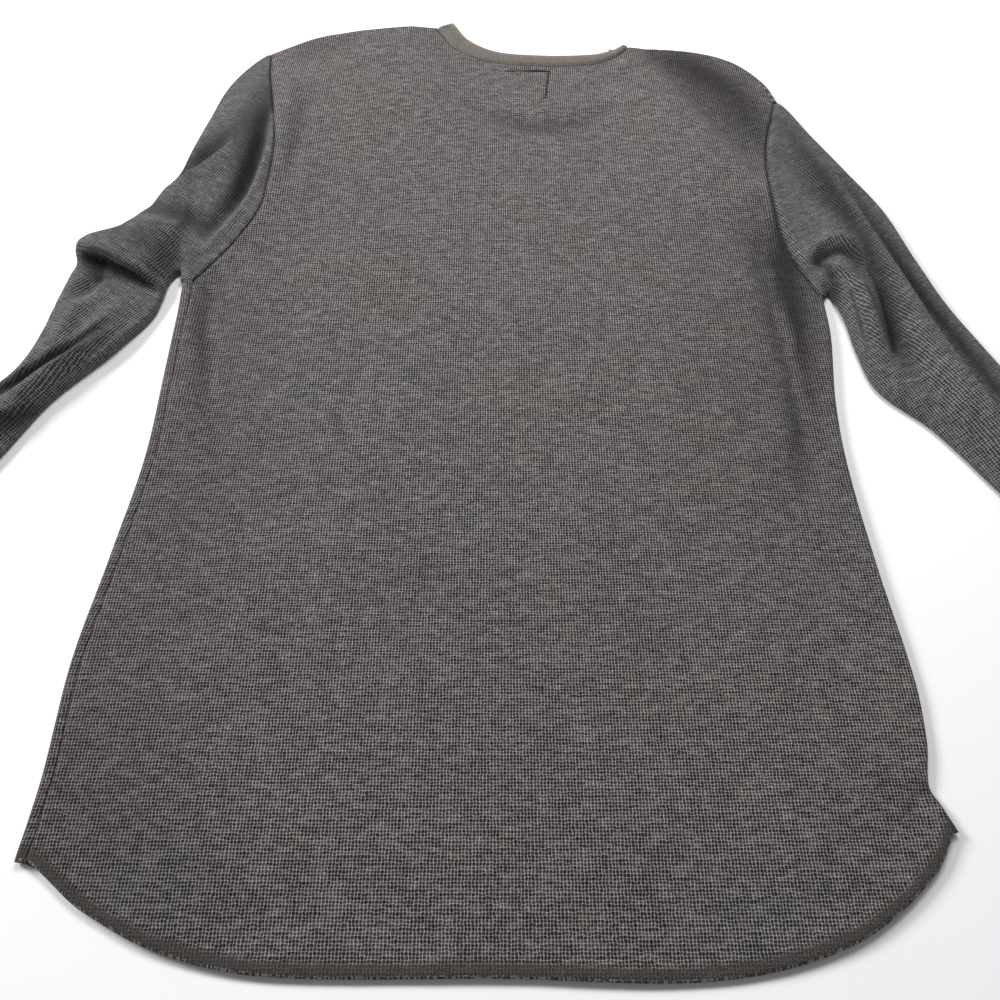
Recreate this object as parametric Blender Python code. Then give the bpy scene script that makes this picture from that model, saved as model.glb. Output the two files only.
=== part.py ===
"""A long-sleeved waffle-knit thermal top with a drop-tail hem, laid flat with its back upward.

The cloth rests on z = 0. The hem points to -Y and the neck to +Y. Every piece is a closed wall of
cloth: its outer face is worked out from the tables below and its inner face lies one wall inside.
The tables are in millimetres on the surface that the top lies on.
"""

import math

import bmesh
import bpy
from mathutils import Vector

MM = 0.001
CLOTH_WALL = 1.4
RIB_WALL = 1.6
HEM_WALL = 2.0
HEM_DEPTH = 9.0
SEAM_GAP = 0.3
NECKBAND_WIDTH = 20.0
SIDE_SEAM_INSET = 5.0
UNDER_SEAM_INSET = 3.0
SHOULDER_SEAM_INSET = 6.0
FOLD_TURNS = (45.0, 90.0, 135.0, 180.0)

# Where the hem stitching ends, as a share of the side seam, then even rows up to the underarm.
SIDE_ROWS = (0.0, 0.02, 0.1, 0.2, 0.3, 0.4, 0.5, 0.6, 0.7, 0.8, 0.9, 1.0)
ARMHOLE_STEPS = 8
UNDERARM_HEIGHT = 0.61
SHOULDER_COLUMNS = 7
NECK_COLUMNS = 12
NECK_LEFT_SHARE = 0.33
NECK_RIGHT_SHARE = 0.73
SLEEVE_STEPS = 2
SEAM_EASE = 2.5
LAYER_POINTS = ARMHOLE_STEPS + 1

# name, x, y: the side fold from the hem corner up to the underarm
LEFT_SIDE = (
    ("hem_corner", -272, 98),
    ("vent", -269, 145),
    ("hip", -270, 215),
    ("waist", -263, 290),
    ("ribs", -256, 375),
    ("high_ribs", -257, 440),
    ("below_arm", -259, 510),
    ("underarm", -261, 548),
)
RIGHT_SIDE = (
    ("hem_corner", 261, 114),
    ("flap", 254, 127),
    ("notch", 247, 138),
    ("low_hip", 260, 160),
    ("hip", 259, 205),
    ("waist", 252, 285),
    ("ribs", 249, 365),
    ("high_ribs", 252, 425),
    ("below_arm", 261, 490),
    ("underarm", 262, 530),
)
# name, x, y: the back hem from the left corner to the right corner, then the shorter front hem
BACK_HEM = (
    ("left_corner", -272, 98),
    ("left_turn", -229, 73),
    ("left_curve", -182, 52),
    ("left_low", -126, 41),
    ("middle", 0, 40),
    ("right_low", 116, 39),
    ("right_curve", 190, 56),
    ("right_turn", 244, 92),
    ("right_corner", 261, 114),
)
FRONT_HEM = (
    ("left_corner", -272, 98),
    ("left_turn", -228, 84),
    ("left_curve", -176, 72),
    ("middle", 0, 64),
    ("right_curve", 182, 76),
    ("right_turn", 238, 103),
    ("right_corner", 261, 114),
)
# name, x, y: the armhole seam from the underarm up to the shoulder tip
LEFT_ARMHOLE = (
    ("underarm", -261, 548),
    ("scoop", -233, 583),
    ("deep", -207, 631),
    ("mid", -202, 697),
    ("high", -210, 752),
    ("low_tip", -219, 800),
    ("tip", -231, 856),
)
RIGHT_ARMHOLE = (
    ("underarm", 262, 530),
    ("scoop", 244, 577),
    ("deep", 236, 622),
    ("mid", 238, 685),
    ("high", 250, 741),
    ("tip", 266, 775),
)
# name, x, y: the far edge from the left shoulder tip to the right one, with the neck seam between
LEFT_SHOULDER = (
    ("tip", -231, 856),
    ("slope", -184, 889),
    ("high", -123, 905),
    ("neck_point", -64, 914),
)
BACK_NECK = (
    ("left_point", -64, 902),
    ("left_turn", -46, 870),
    ("left_low", -12, 846),
    ("lowest", 42, 837),
    ("right_low", 92, 843),
    ("right_turn", 116, 855),
    ("right_point", 128, 867),
)
RIGHT_SHOULDER = (
    ("neck_point", 128, 877),
    ("high", 180, 868),
    ("slope", 228, 846),
    ("round", 256, 811),
    ("tip", 266, 775),
)
FRONT_NECK = (
    ("left_point", -64, 884),
    ("left_turn", -50, 838),
    ("left_low", -15, 804),
    ("lowest", 38, 791),
    ("right_low", 86, 798),
    ("right_turn", 114, 824),
    ("right_point", 125, 856),
)
# name, share of the height, then how high the back lies at five places from left to right
BACK_HEIGHT = (
    ("hem", 0.00, 5.6, 4.8, 4.6, 4.8, 5.8),
    ("seat", 0.12, 5.8, 5.2, 4.8, 5.4, 6.4),
    ("waist", 0.30, 6.2, 6.0, 5.2, 6.4, 7.2),
    ("ribs", 0.48, 7.0, 7.6, 6.4, 8.0, 8.0),
    ("underarm", 0.61, 8.5, 9.5, 7.6, 10.0, 9.0),
    ("armhole", 0.74, 19.0, 12.0, 9.0, 12.0, 17.0),
    ("yoke", 0.88, 22.0, 15.0, 10.0, 14.0, 18.0),
    ("shoulder", 1.00, 15.0, 13.0, 10.0, 13.0, 15.0),
)
# name, outer fold x and y, inner fold x and y, then how high the upper layer lies at five places
LEFT_SLEEVE = (
    ("cap", -256, 812, -266, 560, 19, 15, 12, 15, 9),
    ("upper_arm", -271, 742, -270, 555, 23, 18, 16, 20, 10),
    ("bicep", -284, 668, -272, 550, 24, 24, 22, 20, 12),
    ("fold_ridge", -311, 604, -273, 544, 24, 27, 26, 22, 12),
    ("fold_edge", -351, 575, -273, 536, 25, 28, 26, 22, 11),
    ("below_fold", -353, 550, -276, 518, 13, 12, 12, 11, 8),
    ("elbow", -357, 497, -297, 479, 16, 20, 14, 16, 9),
    ("forearm", -373, 441, -338, 424, 15, 12, 18, 18, 8),
    ("low_forearm", -424, 410, -360, 377, 10, 12, 16, 16, 8),
    ("wrist", -482, 335, -405, 290, 9, 11, 12, 11, 9),
    ("mouth", -510, 290, -430, 245, 9, 11, 12, 11, 9),
)
RIGHT_SLEEVE = (
    ("cap", 285, 733, 268, 535, 14, 16, 13, 14, 9),
    ("upper_arm", 310, 684, 270, 531, 13, 22, 15, 18, 10),
    ("bicep", 333, 634, 271, 526, 11, 24, 14, 20, 11),
    ("inner_turn", 348, 570, 274, 510, 10, 25, 18, 20, 10),
    ("elbow", 361, 518, 277, 474, 10, 25, 20, 15, 9),
    ("below_elbow", 376, 478, 284, 438, 9, 24, 20, 14, 8),
    ("forearm", 397, 429, 317, 400, 9, 22, 18, 12, 8),
    ("low_forearm", 427, 376, 351, 345, 9, 18, 16, 12, 8),
    ("wrist", 495, 265, 412, 237, 9, 11, 12, 11, 9),
    ("mouth", 523, 217, 440, 187, 9, 11, 12, 11, 9),
)

KNIT_COLOUR = (0.118, 0.106, 0.104, 1.0)
SLEEVE_COLOUR = (0.112, 0.104, 0.108, 1.0)
RIB_COLOUR = (0.108, 0.096, 0.086, 1.0)


def clear_scene():
    for obj in list(bpy.data.objects):
        bpy.data.objects.remove(obj, do_unlink=True)


def fabric(name, colour):
    material = bpy.data.materials.new(name)
    material.use_nodes = True
    shader = material.node_tree.nodes["Principled BSDF"]
    shader.inputs["Base Color"].default_value = colour
    shader.inputs["Roughness"].default_value = 0.95
    shader.inputs["Metallic"].default_value = 0.0
    return material


def curve(points):
    """A smooth curve through the points, read by its share of their length."""
    lengths = [0.0]
    for before, after in zip(points, points[1:]):
        lengths.append(lengths[-1] + max((after - before).length, 1e-6))
    last = len(points) - 1

    def slope(i):
        low, high = max(i - 1, 0), min(i + 1, last)
        return (points[high] - points[low]) / (lengths[high] - lengths[low])

    def at(share):
        along = min(max(share, 0.0), 1.0) * lengths[-1]
        i = 0
        while i < last - 1 and along > lengths[i + 1]:
            i += 1
        span = lengths[i + 1] - lengths[i]
        t = (along - lengths[i]) / span
        start = points[i] * (2 * t**3 - 3 * t**2 + 1) + slope(i) * (t**3 - 2 * t**2 + t) * span
        end = points[i + 1] * (3 * t**2 - 2 * t**3) + slope(i + 1) * (t**3 - t**2) * span
        return start + end

    return at


def plan_curve(table):
    return curve([Vector((x, y, 0.0)) for _, x, y in table])


def height_over_back(across, up):
    """How high the back lies at a share of its width and of its height."""
    rows = BACK_HEIGHT
    i = 0
    while i < len(rows) - 2 and up > rows[i + 1][1]:
        i += 1
    t = (up - rows[i][1]) / (rows[i + 1][1] - rows[i][1])
    t = t * t * (3 - 2 * t)
    heights = [a + (b - a) * t for a, b in zip(rows[i][2:], rows[i + 1][2:])]
    return curve([Vector((25.0 * k, 0.0, h)) for k, h in enumerate(heights)])(across).z


def share_of(index, count):
    return index / count


def row_shares():
    """The height share of each row: the side seam's rows, then the armhole's."""
    side = [UNDERARM_HEIGHT * share for share in SIDE_ROWS]
    step = (1.0 - UNDERARM_HEIGHT) / ARMHOLE_STEPS
    return side + [UNDERARM_HEIGHT + step * k for k in range(1, ARMHOLE_STEPS + 1)]


def column_shares():
    """The width share of each column: left shoulder, neck, right shoulder."""
    runs = (
        (0.0, NECK_LEFT_SHARE, SHOULDER_COLUMNS),
        (NECK_LEFT_SHARE, NECK_RIGHT_SHARE, NECK_COLUMNS),
        (NECK_RIGHT_SHARE, 1.0, SHOULDER_COLUMNS),
    )
    shares = [0.0]
    for low, high, count in runs:
        shares += [low + (high - low) * k / count for k in range(1, count + 1)]
    return shares


UNDERARM_ROW = len(SIDE_ROWS) - 1
TOP_ROW = UNDERARM_ROW + ARMHOLE_STEPS
NECK_START = SHOULDER_COLUMNS
NECK_END = SHOULDER_COLUMNS + NECK_COLUMNS
LAST_COLUMN = NECK_END + SHOULDER_COLUMNS
LEFT_FOLD_COLUMN = -5


def side_edge(side_table, armhole_table):
    """The plan points of one side, row by row."""
    side = plan_curve(side_table)
    armhole = plan_curve(armhole_table)
    points = [side(share) for share in SIDE_ROWS]
    return points + [armhole(k / ARMHOLE_STEPS) for k in range(1, ARMHOLE_STEPS + 1)]


def top_edge(neck_table):
    """The plan points of the far edge, column by column, with the neck seam in the middle."""
    left = plan_curve(LEFT_SHOULDER)
    neck = plan_curve(neck_table)
    right = plan_curve(RIGHT_SHOULDER)
    points = [left(k / SHOULDER_COLUMNS) for k in range(SHOULDER_COLUMNS)]
    points += [neck(k / NECK_COLUMNS) for k in range(NECK_COLUMNS + 1)]
    return points + [right(k / SHOULDER_COLUMNS) for k in range(1, SHOULDER_COLUMNS + 1)]


def fade(row, rows_long):
    """1 up to the underarm row, then down to 0 over a few rows of the armhole."""
    return min(max(1.0 - (row - UNDERARM_ROW) / rows_long, 0.0), 1.0)


def neck_fade(column):
    """1 along the shoulders and 0 along the neck."""
    return 0.0 if NECK_START <= column <= NECK_END else 1.0


def filled(bottom, top, left, right):
    """A net of plan points between four edges, as rows from the hem to the neck."""
    ups = row_shares()
    acrosses = column_shares()
    rows = []
    for i, up in enumerate(ups):
        row = []
        for j, across in enumerate(acrosses):
            ruled = bottom[j] * (1 - up) + top[j] * up + left[i] * (1 - across)
            ruled += right[i] * across
            corners = bottom[0] * (1 - across) * (1 - up) + bottom[-1] * across * (1 - up)
            corners += top[0] * (1 - across) * up + top[-1] * across * up
            row.append(ruled - corners)
        rows.append(row)
    return rows


def shoulder_outward(column):
    """Which way the far edge faces, in plan."""
    table = LEFT_SHOULDER if column <= NECK_START else RIGHT_SHOULDER
    offset = 0 if column <= NECK_START else NECK_END
    line = plan_curve(table)
    share = (column - offset) / SHOULDER_COLUMNS
    along = line(min(share + 0.05, 1.0)) - line(max(share - 0.05, 0.0))
    return Vector((-along.y, along.x, 0.0)).normalized()


def fold_points(start, outward, radius, turns):
    """Points around a fold, from its upper side to its lower side on the ground."""
    points = []
    for turn in turns:
        angle = math.radians(turn)
        step = outward * (radius * math.sin(angle))
        points.append(Vector((start.x, start.y, radius + radius * math.cos(angle))) + step)
    return points


def side_radius(row, across):
    return height_over_back(across, row_shares()[row]) / 2


def back_points():
    """The back's outer face. It turns under at the right side and over the shoulders."""
    acrosses = column_shares()
    ups = row_shares()
    left = side_edge(LEFT_SIDE, LEFT_ARMHOLE)
    right = side_edge(RIGHT_SIDE, RIGHT_ARMHOLE)
    for i in range(TOP_ROW + 1):
        left[i] = left[i] + Vector((fade(i, 3) * (side_radius(i, 0.0) + SIDE_SEAM_INSET), 0, 0))
        right[i] = right[i] - Vector((fade(i, 3) * side_radius(i, 1.0), 0, 0))
    hem = plan_curve(BACK_HEM)
    bottom = [hem(across) for across in acrosses]
    bottom[0] = left[0]
    bottom[-1] = right[0]
    top = top_edge(BACK_NECK)
    for j in range(LAST_COLUMN + 1):
        if neck_fade(j) > 0:
            top[j] = top[j] - shoulder_outward(j) * height_over_back(acrosses[j], 1.0) / 2
    left[-1] = top[0]
    right[-1] = top[-1]
    points = {}
    for i, row in enumerate(filled(bottom, top, left, right)):
        for j, point in enumerate(row):
            points[i, j] = Vector((point.x, point.y, height_over_back(acrosses[j], ups[i])))
    for i in range(UNDERARM_ROW + 1):
        start = points[i, LAST_COLUMN]
        turned = fold_points(start, Vector((1, 0, 0)), start.z / 2, FOLD_TURNS)
        turned.append(turned[-1] - Vector((UNDER_SEAM_INSET, 0, 0)))
        for k, point in enumerate(turned):
            points[i, LAST_COLUMN + 1 + k] = point
    for j in range(LAST_COLUMN + 1):
        if NECK_START < j < NECK_END:
            continue
        start = points[TOP_ROW, j]
        outward = shoulder_outward(j)
        turned = fold_points(start, outward, start.z / 2, FOLD_TURNS)
        turned.append(turned[-1] - outward * SHOULDER_SEAM_INSET)
        for k, point in enumerate(turned):
            points[TOP_ROW + 1 + k, j] = point
    return points


def front_points(back):
    """The front's outer face, on the ground. It turns up around the left side to the back's edge."""
    acrosses = column_shares()
    left = side_edge(LEFT_SIDE, LEFT_ARMHOLE)
    right = side_edge(RIGHT_SIDE, RIGHT_ARMHOLE)
    for i in range(TOP_ROW + 1):
        left[i] = left[i] + Vector((fade(i, 3) * side_radius(i, 0.0), 0, 0))
        under = side_radius(i, 1.0) + UNDER_SEAM_INSET + SEAM_GAP
        right[i] = right[i] - Vector((fade(i, 3) * under, 0, 0))
    hem = plan_curve(FRONT_HEM)
    bottom = [hem(across) for across in acrosses]
    bottom[0] = left[0]
    bottom[-1] = right[0]
    top = top_edge(FRONT_NECK)
    for j in range(LAST_COLUMN + 1):
        if j <= NECK_START or j >= NECK_END:
            seam = back[TOP_ROW + 1 + len(FOLD_TURNS), j]
            top[j] = Vector((seam.x, seam.y, 0)) - shoulder_outward(j) * SEAM_GAP
    left[-1] = top[0]
    right[-1] = top[-1]
    points = {}
    for i, row in enumerate(filled(bottom, top, left, right)):
        for j, point in enumerate(row):
            points[i, j] = Vector((point.x, point.y, 0.0))
    for i in range(UNDERARM_ROW + 1):
        seam = back[i, 0]
        start = Vector((points[i, 0].x, points[i, 0].y, seam.z))
        turned = fold_points(start, Vector((-1, 0, 0)), seam.z / 2, FOLD_TURNS[:-1])
        for k, point in enumerate(reversed(turned)):
            points[i, -1 - k] = point
        points[i, -4] = start
        points[i, LEFT_FOLD_COLUMN] = seam - Vector((SEAM_GAP, 0, 0))
    return points


def patch(points):
    """The four-cornered faces between neighbouring points of a net."""
    faces = []
    for i, j in points:
        corners = ((i, j), (i, j + 1), (i + 1, j + 1), (i + 1, j))
        if all(corner in points for corner in corners):
            faces.append(corners)
    return faces


def tube(rings):
    """A net of rings: its points, and faces that close round each ring."""
    count = len(rings[0])
    points = {(i, j): point for i, ring in enumerate(rings) for j, point in enumerate(ring)}
    faces = []
    for i in range(len(rings) - 1):
        for j in range(count):
            k = (j + 1) % count
            faces.append(((i, j), (i, k), (i + 1, k), (i + 1, j)))
    return points, faces


def away_from_panel(edge, inner):
    """For each edge point of a closed seam, the level way out of the panel, square to the seam."""
    count = len(edge)
    ways = []
    for k in range(count):
        along = edge[(k + 1) % count] - edge[k - 1]
        along.normalize()
        way = edge[k] - inner[k]
        way -= along * way.dot(along)
        ways.append(way.normalized())
    return ways


def armhole_seam(back, front, side):
    """The armhole's edge points and the points just inside them, all round. side is -1 or 1."""
    edge = []
    inner = []
    outer_column = 0 if side < 0 else LAST_COLUMN
    next_column = outer_column - side
    for i in range(TOP_ROW, UNDERARM_ROW - 1, -1):
        edge.append(back[i, outer_column])
        inner.append(back[max(i, UNDERARM_ROW + 1) - 1, next_column] if i == UNDERARM_ROW
                     else back[i, next_column])
    if side < 0:
        fold = [(front, -4), (front, -3), (front, -2), (front, -1)]
    else:
        fold = [(back, LAST_COLUMN + k) for k in (1, 2, 3, 4)]
    for panel, column in fold:
        edge.append(panel[UNDERARM_ROW, column])
        inner.append(panel[UNDERARM_ROW - 1, column])
    for i in range(UNDERARM_ROW, TOP_ROW + 1):
        edge.append(front[i, outer_column])
        inner.append(front[i - 1, next_column] if i == UNDERARM_ROW else front[i, next_column])
    for k in (4, 3, 2, 1):
        edge.append(back[TOP_ROW + k, outer_column])
        inner.append(back[TOP_ROW + k, next_column])
    return edge, inner


def neck_seam(back, front):
    """The neck's edge points and the points just inside them, all round."""
    edge = []
    inner = []
    for j in range(NECK_START, NECK_END + 1):
        edge.append(back[TOP_ROW, j])
        at_point = {NECK_START: back[TOP_ROW, j - 1], NECK_END: back[TOP_ROW, j + 1]}
        inner.append(at_point.get(j, back[TOP_ROW - 1, j]))
    for k in (1, 2, 3, 4):
        edge.append(back[TOP_ROW + k, NECK_END])
        inner.append(back[TOP_ROW + k, NECK_END + 1])
    for j in range(NECK_END, NECK_START - 1, -1):
        edge.append(front[TOP_ROW, j])
        at_point = {NECK_START: front[TOP_ROW, j - 1], NECK_END: front[TOP_ROW, j + 1]}
        inner.append(at_point.get(j, front[TOP_ROW - 1, j]))
    for k in (4, 3, 2, 1):
        edge.append(back[TOP_ROW + k, NECK_START])
        inner.append(back[TOP_ROW + k, NECK_START - 1])
    return edge, inner


def sleeve_section(row):
    """One ring of a sleeve: over the upper layer, round the inner fold and back underneath."""
    _, outer_x, outer_y, inner_x, inner_y, *heights = row
    outer = Vector((outer_x, outer_y, 0))
    inner = Vector((inner_x, inner_y, 0))
    across = (inner - outer).normalized()
    radius_out = heights[0] / 2
    radius_in = heights[-1] / 2
    start = outer + across * radius_out
    end = inner - across * radius_in
    lift = curve([Vector((25.0 * k, 0.0, h)) for k, h in enumerate(heights)])
    ring = []
    for k in range(LAYER_POINTS):
        share = 0.94 * k / (LAYER_POINTS - 1)
        point = start.lerp(end, share)
        ring.append(Vector((point.x, point.y, lift(share).z)))
    top_in = Vector((end.x, end.y, heights[-1]))
    ring.append(top_in)
    ring += fold_points(top_in, across, radius_in, FOLD_TURNS[:-1])
    for k in range(LAYER_POINTS):
        point = end.lerp(start, 0.94 * k / (LAYER_POINTS - 1))
        ring.append(Vector((point.x, point.y, 0)))
    top_out = Vector((start.x, start.y, heights[0]))
    ring += reversed(fold_points(top_out, -across, radius_out, FOLD_TURNS))
    return ring


def between(knots, low, share):
    """A ring between two knots, on a smooth run through their neighbours."""
    before = knots[low - 1]
    after = knots[min(low + 2, len(knots) - 1)]
    ring = []
    for p0, p1, p2, p3 in zip(before, knots[low], knots[low + 1], after):
        t = share
        point = p1 * (2 * t**3 - 3 * t**2 + 1) + p2 * (3 * t**2 - 2 * t**3)
        point += (p2 - p0) * (0.5 * (t**3 - 2 * t**2 + t)) + (p3 - p1) * (0.5 * (t**3 - t**2))
        ring.append(point)
    return ring


def sleeve_rings(back, front, side, table):
    """The sleeve's outer face as rings from the armhole seam down to the mouth."""
    edge, inner = armhole_seam(back, front, side)
    ways = away_from_panel(edge, inner)
    knots = [
        [p + w * SEAM_GAP for p, w in zip(edge, ways)],
        [p + w * SEAM_EASE for p, w in zip(edge, ways)],
    ]
    knots += [sleeve_section(row) for row in table]
    rings = [knots[0], knots[1]]
    for low in range(1, len(knots) - 1):
        for step in range(1, SLEEVE_STEPS + 1):
            rings.append(between(knots, low, step / SLEEVE_STEPS))
    length = (knots[-1][4] - rings[-2][4]).length
    share = HEM_DEPTH / length
    rings.insert(-1, [a.lerp(b, share) for a, b in zip(rings[-1], rings[-2])])
    return rings


def neckband_rings(back, front):
    """The neckband's outer face as rings from the neck seam to its free edge."""
    edge, inner = neck_seam(back, front)
    ways = away_from_panel(edge, inner)
    rings = []
    for width in (SEAM_GAP, SEAM_EASE, 0.5 * NECKBAND_WIDTH, NECKBAND_WIDTH):
        rings.append([p + w * width for p, w in zip(edge, ways)])
    return rings


def panel_wall(key):
    """The back and front are doubled where the hem is turned in."""
    return HEM_WALL if key[0] <= 1 else CLOTH_WALL


def cloth(name, points, faces, wall, outside, material, shift):
    """A closed panel: its outer face is the net, and its inner face lies one wall inside."""
    build = bmesh.new()
    outer = {key: build.verts.new((point + shift) * MM) for key, point in points.items()}
    for corners in faces:
        turned = corners if outside > 0 else tuple(reversed(corners))
        build.faces.new([outer[key] for key in turned])
    build.normal_update()
    inner = {}
    for key, vert in list(outer.items()):
        inner[vert] = build.verts.new(vert.co - vert.normal * (wall(key) * MM))
    shown = list(build.faces)
    rims = [edge for edge in build.edges if len(edge.link_faces) == 1]
    for edge in rims:
        start, end = edge.link_loops[0].vert, edge.link_loops[0].link_loop_next.vert
        build.faces.new((end, start, inner[start], inner[end]))
    for face in shown:
        build.faces.new([inner[vert] for vert in reversed(face.verts)])
    mesh = bpy.data.meshes.new(name)
    build.to_mesh(mesh)
    build.free()
    mesh.materials.append(material)
    obj = bpy.data.objects.new(name, mesh)
    bpy.context.scene.collection.objects.link(obj)
    return obj


def main():
    clear_scene()
    knit = fabric("waffle_knit", KNIT_COLOUR)
    sleeve_knit = fabric("sleeve_waffle_knit", SLEEVE_COLOUR)
    rib = fabric("neck_rib", RIB_COLOUR)
    back = back_points()
    front = front_points(back)
    pieces = [
        ("back", back, patch(back), panel_wall, 1, knit),
        ("front", front, patch(front), panel_wall, -1, knit),
    ]
    sleeves = (("sleeve_left", -1, LEFT_SLEEVE), ("sleeve_right", 1, RIGHT_SLEEVE))
    for name, side, table in sleeves:
        rings = sleeve_rings(back, front, side, table)
        points, faces = tube(rings)
        last = len(rings) - 2

        def sleeve_wall(key, last=last):
            return HEM_WALL if key[0] >= last else CLOTH_WALL

        pieces.append((name, points, faces, sleeve_wall, side, sleeve_knit))
    points, faces = tube(neckband_rings(back, front))
    pieces.append(("neckband", points, faces, lambda key: RIB_WALL, 1, rib))
    every = [point for piece in pieces for point in piece[1].values()]
    middle_x = (min(p.x for p in every) + max(p.x for p in every)) / 2
    middle_y = (min(p.y for p in every) + max(p.y for p in every)) / 2
    shift = Vector((-middle_x, -middle_y, 0))
    print("shift", middle_x, middle_y)
    for name, points, faces, wall, outside, material in pieces:
        cloth(name, points, faces, wall, outside, material, shift)


main()
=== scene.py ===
# %% [markdown]
# # A waffle-knit thermal top, laid flat with its back upward
#
# Such a top is cut from five pieces: a back and a front that differ only at the neck and the
# hem, two sleeves, and a strip of rib for the neckband. Laid on a table, the front lies flat
# underneath, the back rests on it, and the sleeves fall where they like. We build every piece as
# a thin sheet from a few named measurements, press the folds into it, give it its wall,
# and then knit its surface with shader nodes.

# %% Load the fixed frame
import math

import bmesh
import bpy
import numpy as np
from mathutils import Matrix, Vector


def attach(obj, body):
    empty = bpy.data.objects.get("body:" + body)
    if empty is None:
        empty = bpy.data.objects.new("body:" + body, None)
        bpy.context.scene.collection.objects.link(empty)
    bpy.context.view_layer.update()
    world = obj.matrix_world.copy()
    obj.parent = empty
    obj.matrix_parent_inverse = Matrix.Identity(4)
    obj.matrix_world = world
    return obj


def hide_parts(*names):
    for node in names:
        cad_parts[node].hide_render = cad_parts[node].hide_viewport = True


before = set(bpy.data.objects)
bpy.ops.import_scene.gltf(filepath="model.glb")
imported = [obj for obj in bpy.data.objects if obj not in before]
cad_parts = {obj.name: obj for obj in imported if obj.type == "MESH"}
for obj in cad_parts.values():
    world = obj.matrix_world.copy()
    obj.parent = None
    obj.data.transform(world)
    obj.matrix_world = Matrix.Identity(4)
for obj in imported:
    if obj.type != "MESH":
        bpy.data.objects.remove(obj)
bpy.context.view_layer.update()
bpy.ops.object.select_all(action="DESELECT")
print("CAD nodes:", sorted(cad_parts))

# %% [markdown]
# ## Measurements
#
# Every table is in millimetres on the table top, measured from a mark below the middle of the
# hem, so that the numbers read like a pattern cutter's. `MIDDLE` is where the frame's own origin
# lies in those measurements. The knit is about 1.4 mm thick, the rib a little thicker.

# %% Cloth sizes and the plan's middle
MM = 0.001
MIDDLE = np.array([6.5, 474.122, 0.0])
CLOTH_WALL = 1.4
RIB_WALL = 1.6
SEAM_GAP = 0.3
STITCHED_GAP = 0.1
SEAM_EASE = 2.5
SIDE_SEAM_INSET = 5.0
UNDER_SEAM_INSET = 3.0
SHOULDER_SEAM_INSET = 6.0
UNDERARM_HEIGHT = 0.61
NECK_SHARES = (0.33, 0.73)
ARMHOLE_FADE = 3 / 8
END_SHARE = 0.10
print("wall", CLOTH_WALL, "mm; the frame's origin is at", MIDDLE[:2], "in the plan")

# %% Outlines
# Each place: its name, x and y
LEFT_SIDE = (
    ("hem_corner", -272, 98),
    ("vent", -269, 145),
    ("hip", -270, 215),
    ("waist", -263, 290),
    ("ribs", -256, 375),
    ("high_ribs", -257, 440),
    ("below_arm", -259, 510),
    ("underarm", -261, 548),
)
RIGHT_SIDE = (
    ("hem_corner", 261, 114),
    ("flap", 256, 126),
    ("notch", 251, 140),
    ("low_hip", 256, 166),
    ("hip", 258, 205),
    ("waist", 252, 285),
    ("ribs", 249, 365),
    ("high_ribs", 252, 425),
    ("below_arm", 261, 490),
    ("underarm", 262, 530),
)
BACK_HEM = (
    ("left_corner", -272, 98),
    ("left_turn", -229, 73),
    ("left_curve", -182, 52),
    ("left_low", -126, 41),
    ("middle", 0, 40),
    ("right_low", 116, 39),
    ("right_curve", 190, 56),
    ("right_turn", 244, 92),
    ("right_corner", 261, 114),
)
FRONT_HEM = (
    ("left_corner", -272, 98),
    ("left_turn", -228, 84),
    ("left_curve", -176, 72),
    ("middle", 0, 64),
    ("right_curve", 182, 76),
    ("right_turn", 238, 103),
    ("right_corner", 261, 114),
)
LEFT_ARMHOLE = (
    ("underarm", -261, 548),
    ("scoop", -233, 583),
    ("deep", -207, 631),
    ("mid", -202, 697),
    ("high", -210, 752),
    ("low_tip", -219, 800),
    ("tip", -231, 856),
)
RIGHT_ARMHOLE = (
    ("underarm", 262, 530),
    ("scoop", 244, 577),
    ("deep", 236, 622),
    ("mid", 238, 685),
    ("high", 250, 741),
    ("tip", 266, 775),
)
LEFT_SHOULDER = (
    ("tip", -231, 856),
    ("slope", -184, 889),
    ("high", -123, 905),
    ("neck_point", -64, 914),
)
BACK_NECK = (
    ("left_point", -64, 902),
    ("left_turn", -46, 872),
    ("left_low", -12, 849),
    ("lowest", 42, 841),
    ("right_low", 90, 842),
    ("right_turn", 114, 852),
    ("right_point", 128, 867),
)
RIGHT_SHOULDER = (
    ("neck_point", 128, 877),
    ("high", 180, 868),
    ("slope", 228, 846),
    ("round", 256, 811),
    ("tip", 266, 775),
)
FRONT_NECK = (
    ("left_point", -64, 884),
    ("left_turn", -50, 838),
    ("left_low", -15, 804),
    ("lowest", 38, 791),
    ("right_low", 86, 798),
    ("right_turn", 114, 824),
    ("right_point", 125, 856),
)

print("the neck is", BACK_NECK[-1][1] - BACK_NECK[0][1], "mm wide")

# %% How high the back lies
# Each row: its name, its share of the way up, then the height at five places from left to right
BACK_HEIGHT = (
    ("hem", 0.00, 5.6, 4.8, 4.6, 4.8, 5.8),
    ("seat", 0.12, 5.8, 5.2, 4.8, 5.4, 6.4),
    ("waist", 0.30, 6.2, 6.0, 5.2, 6.4, 7.2),
    ("ribs", 0.48, 7.0, 7.6, 6.4, 8.0, 8.0),
    ("underarm", 0.61, 8.5, 9.5, 7.6, 10.0, 9.0),
    ("armhole", 0.74, 19.0, 12.0, 9.0, 12.0, 17.0),
    ("yoke", 0.88, 22.0, 15.0, 10.0, 14.0, 18.0),
    ("shoulder", 1.00, 15.0, 13.0, 10.0, 13.0, 15.0),
)

print("the back lies up to", max(max(row[2:]) for row in BACK_HEIGHT), "mm high")

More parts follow.
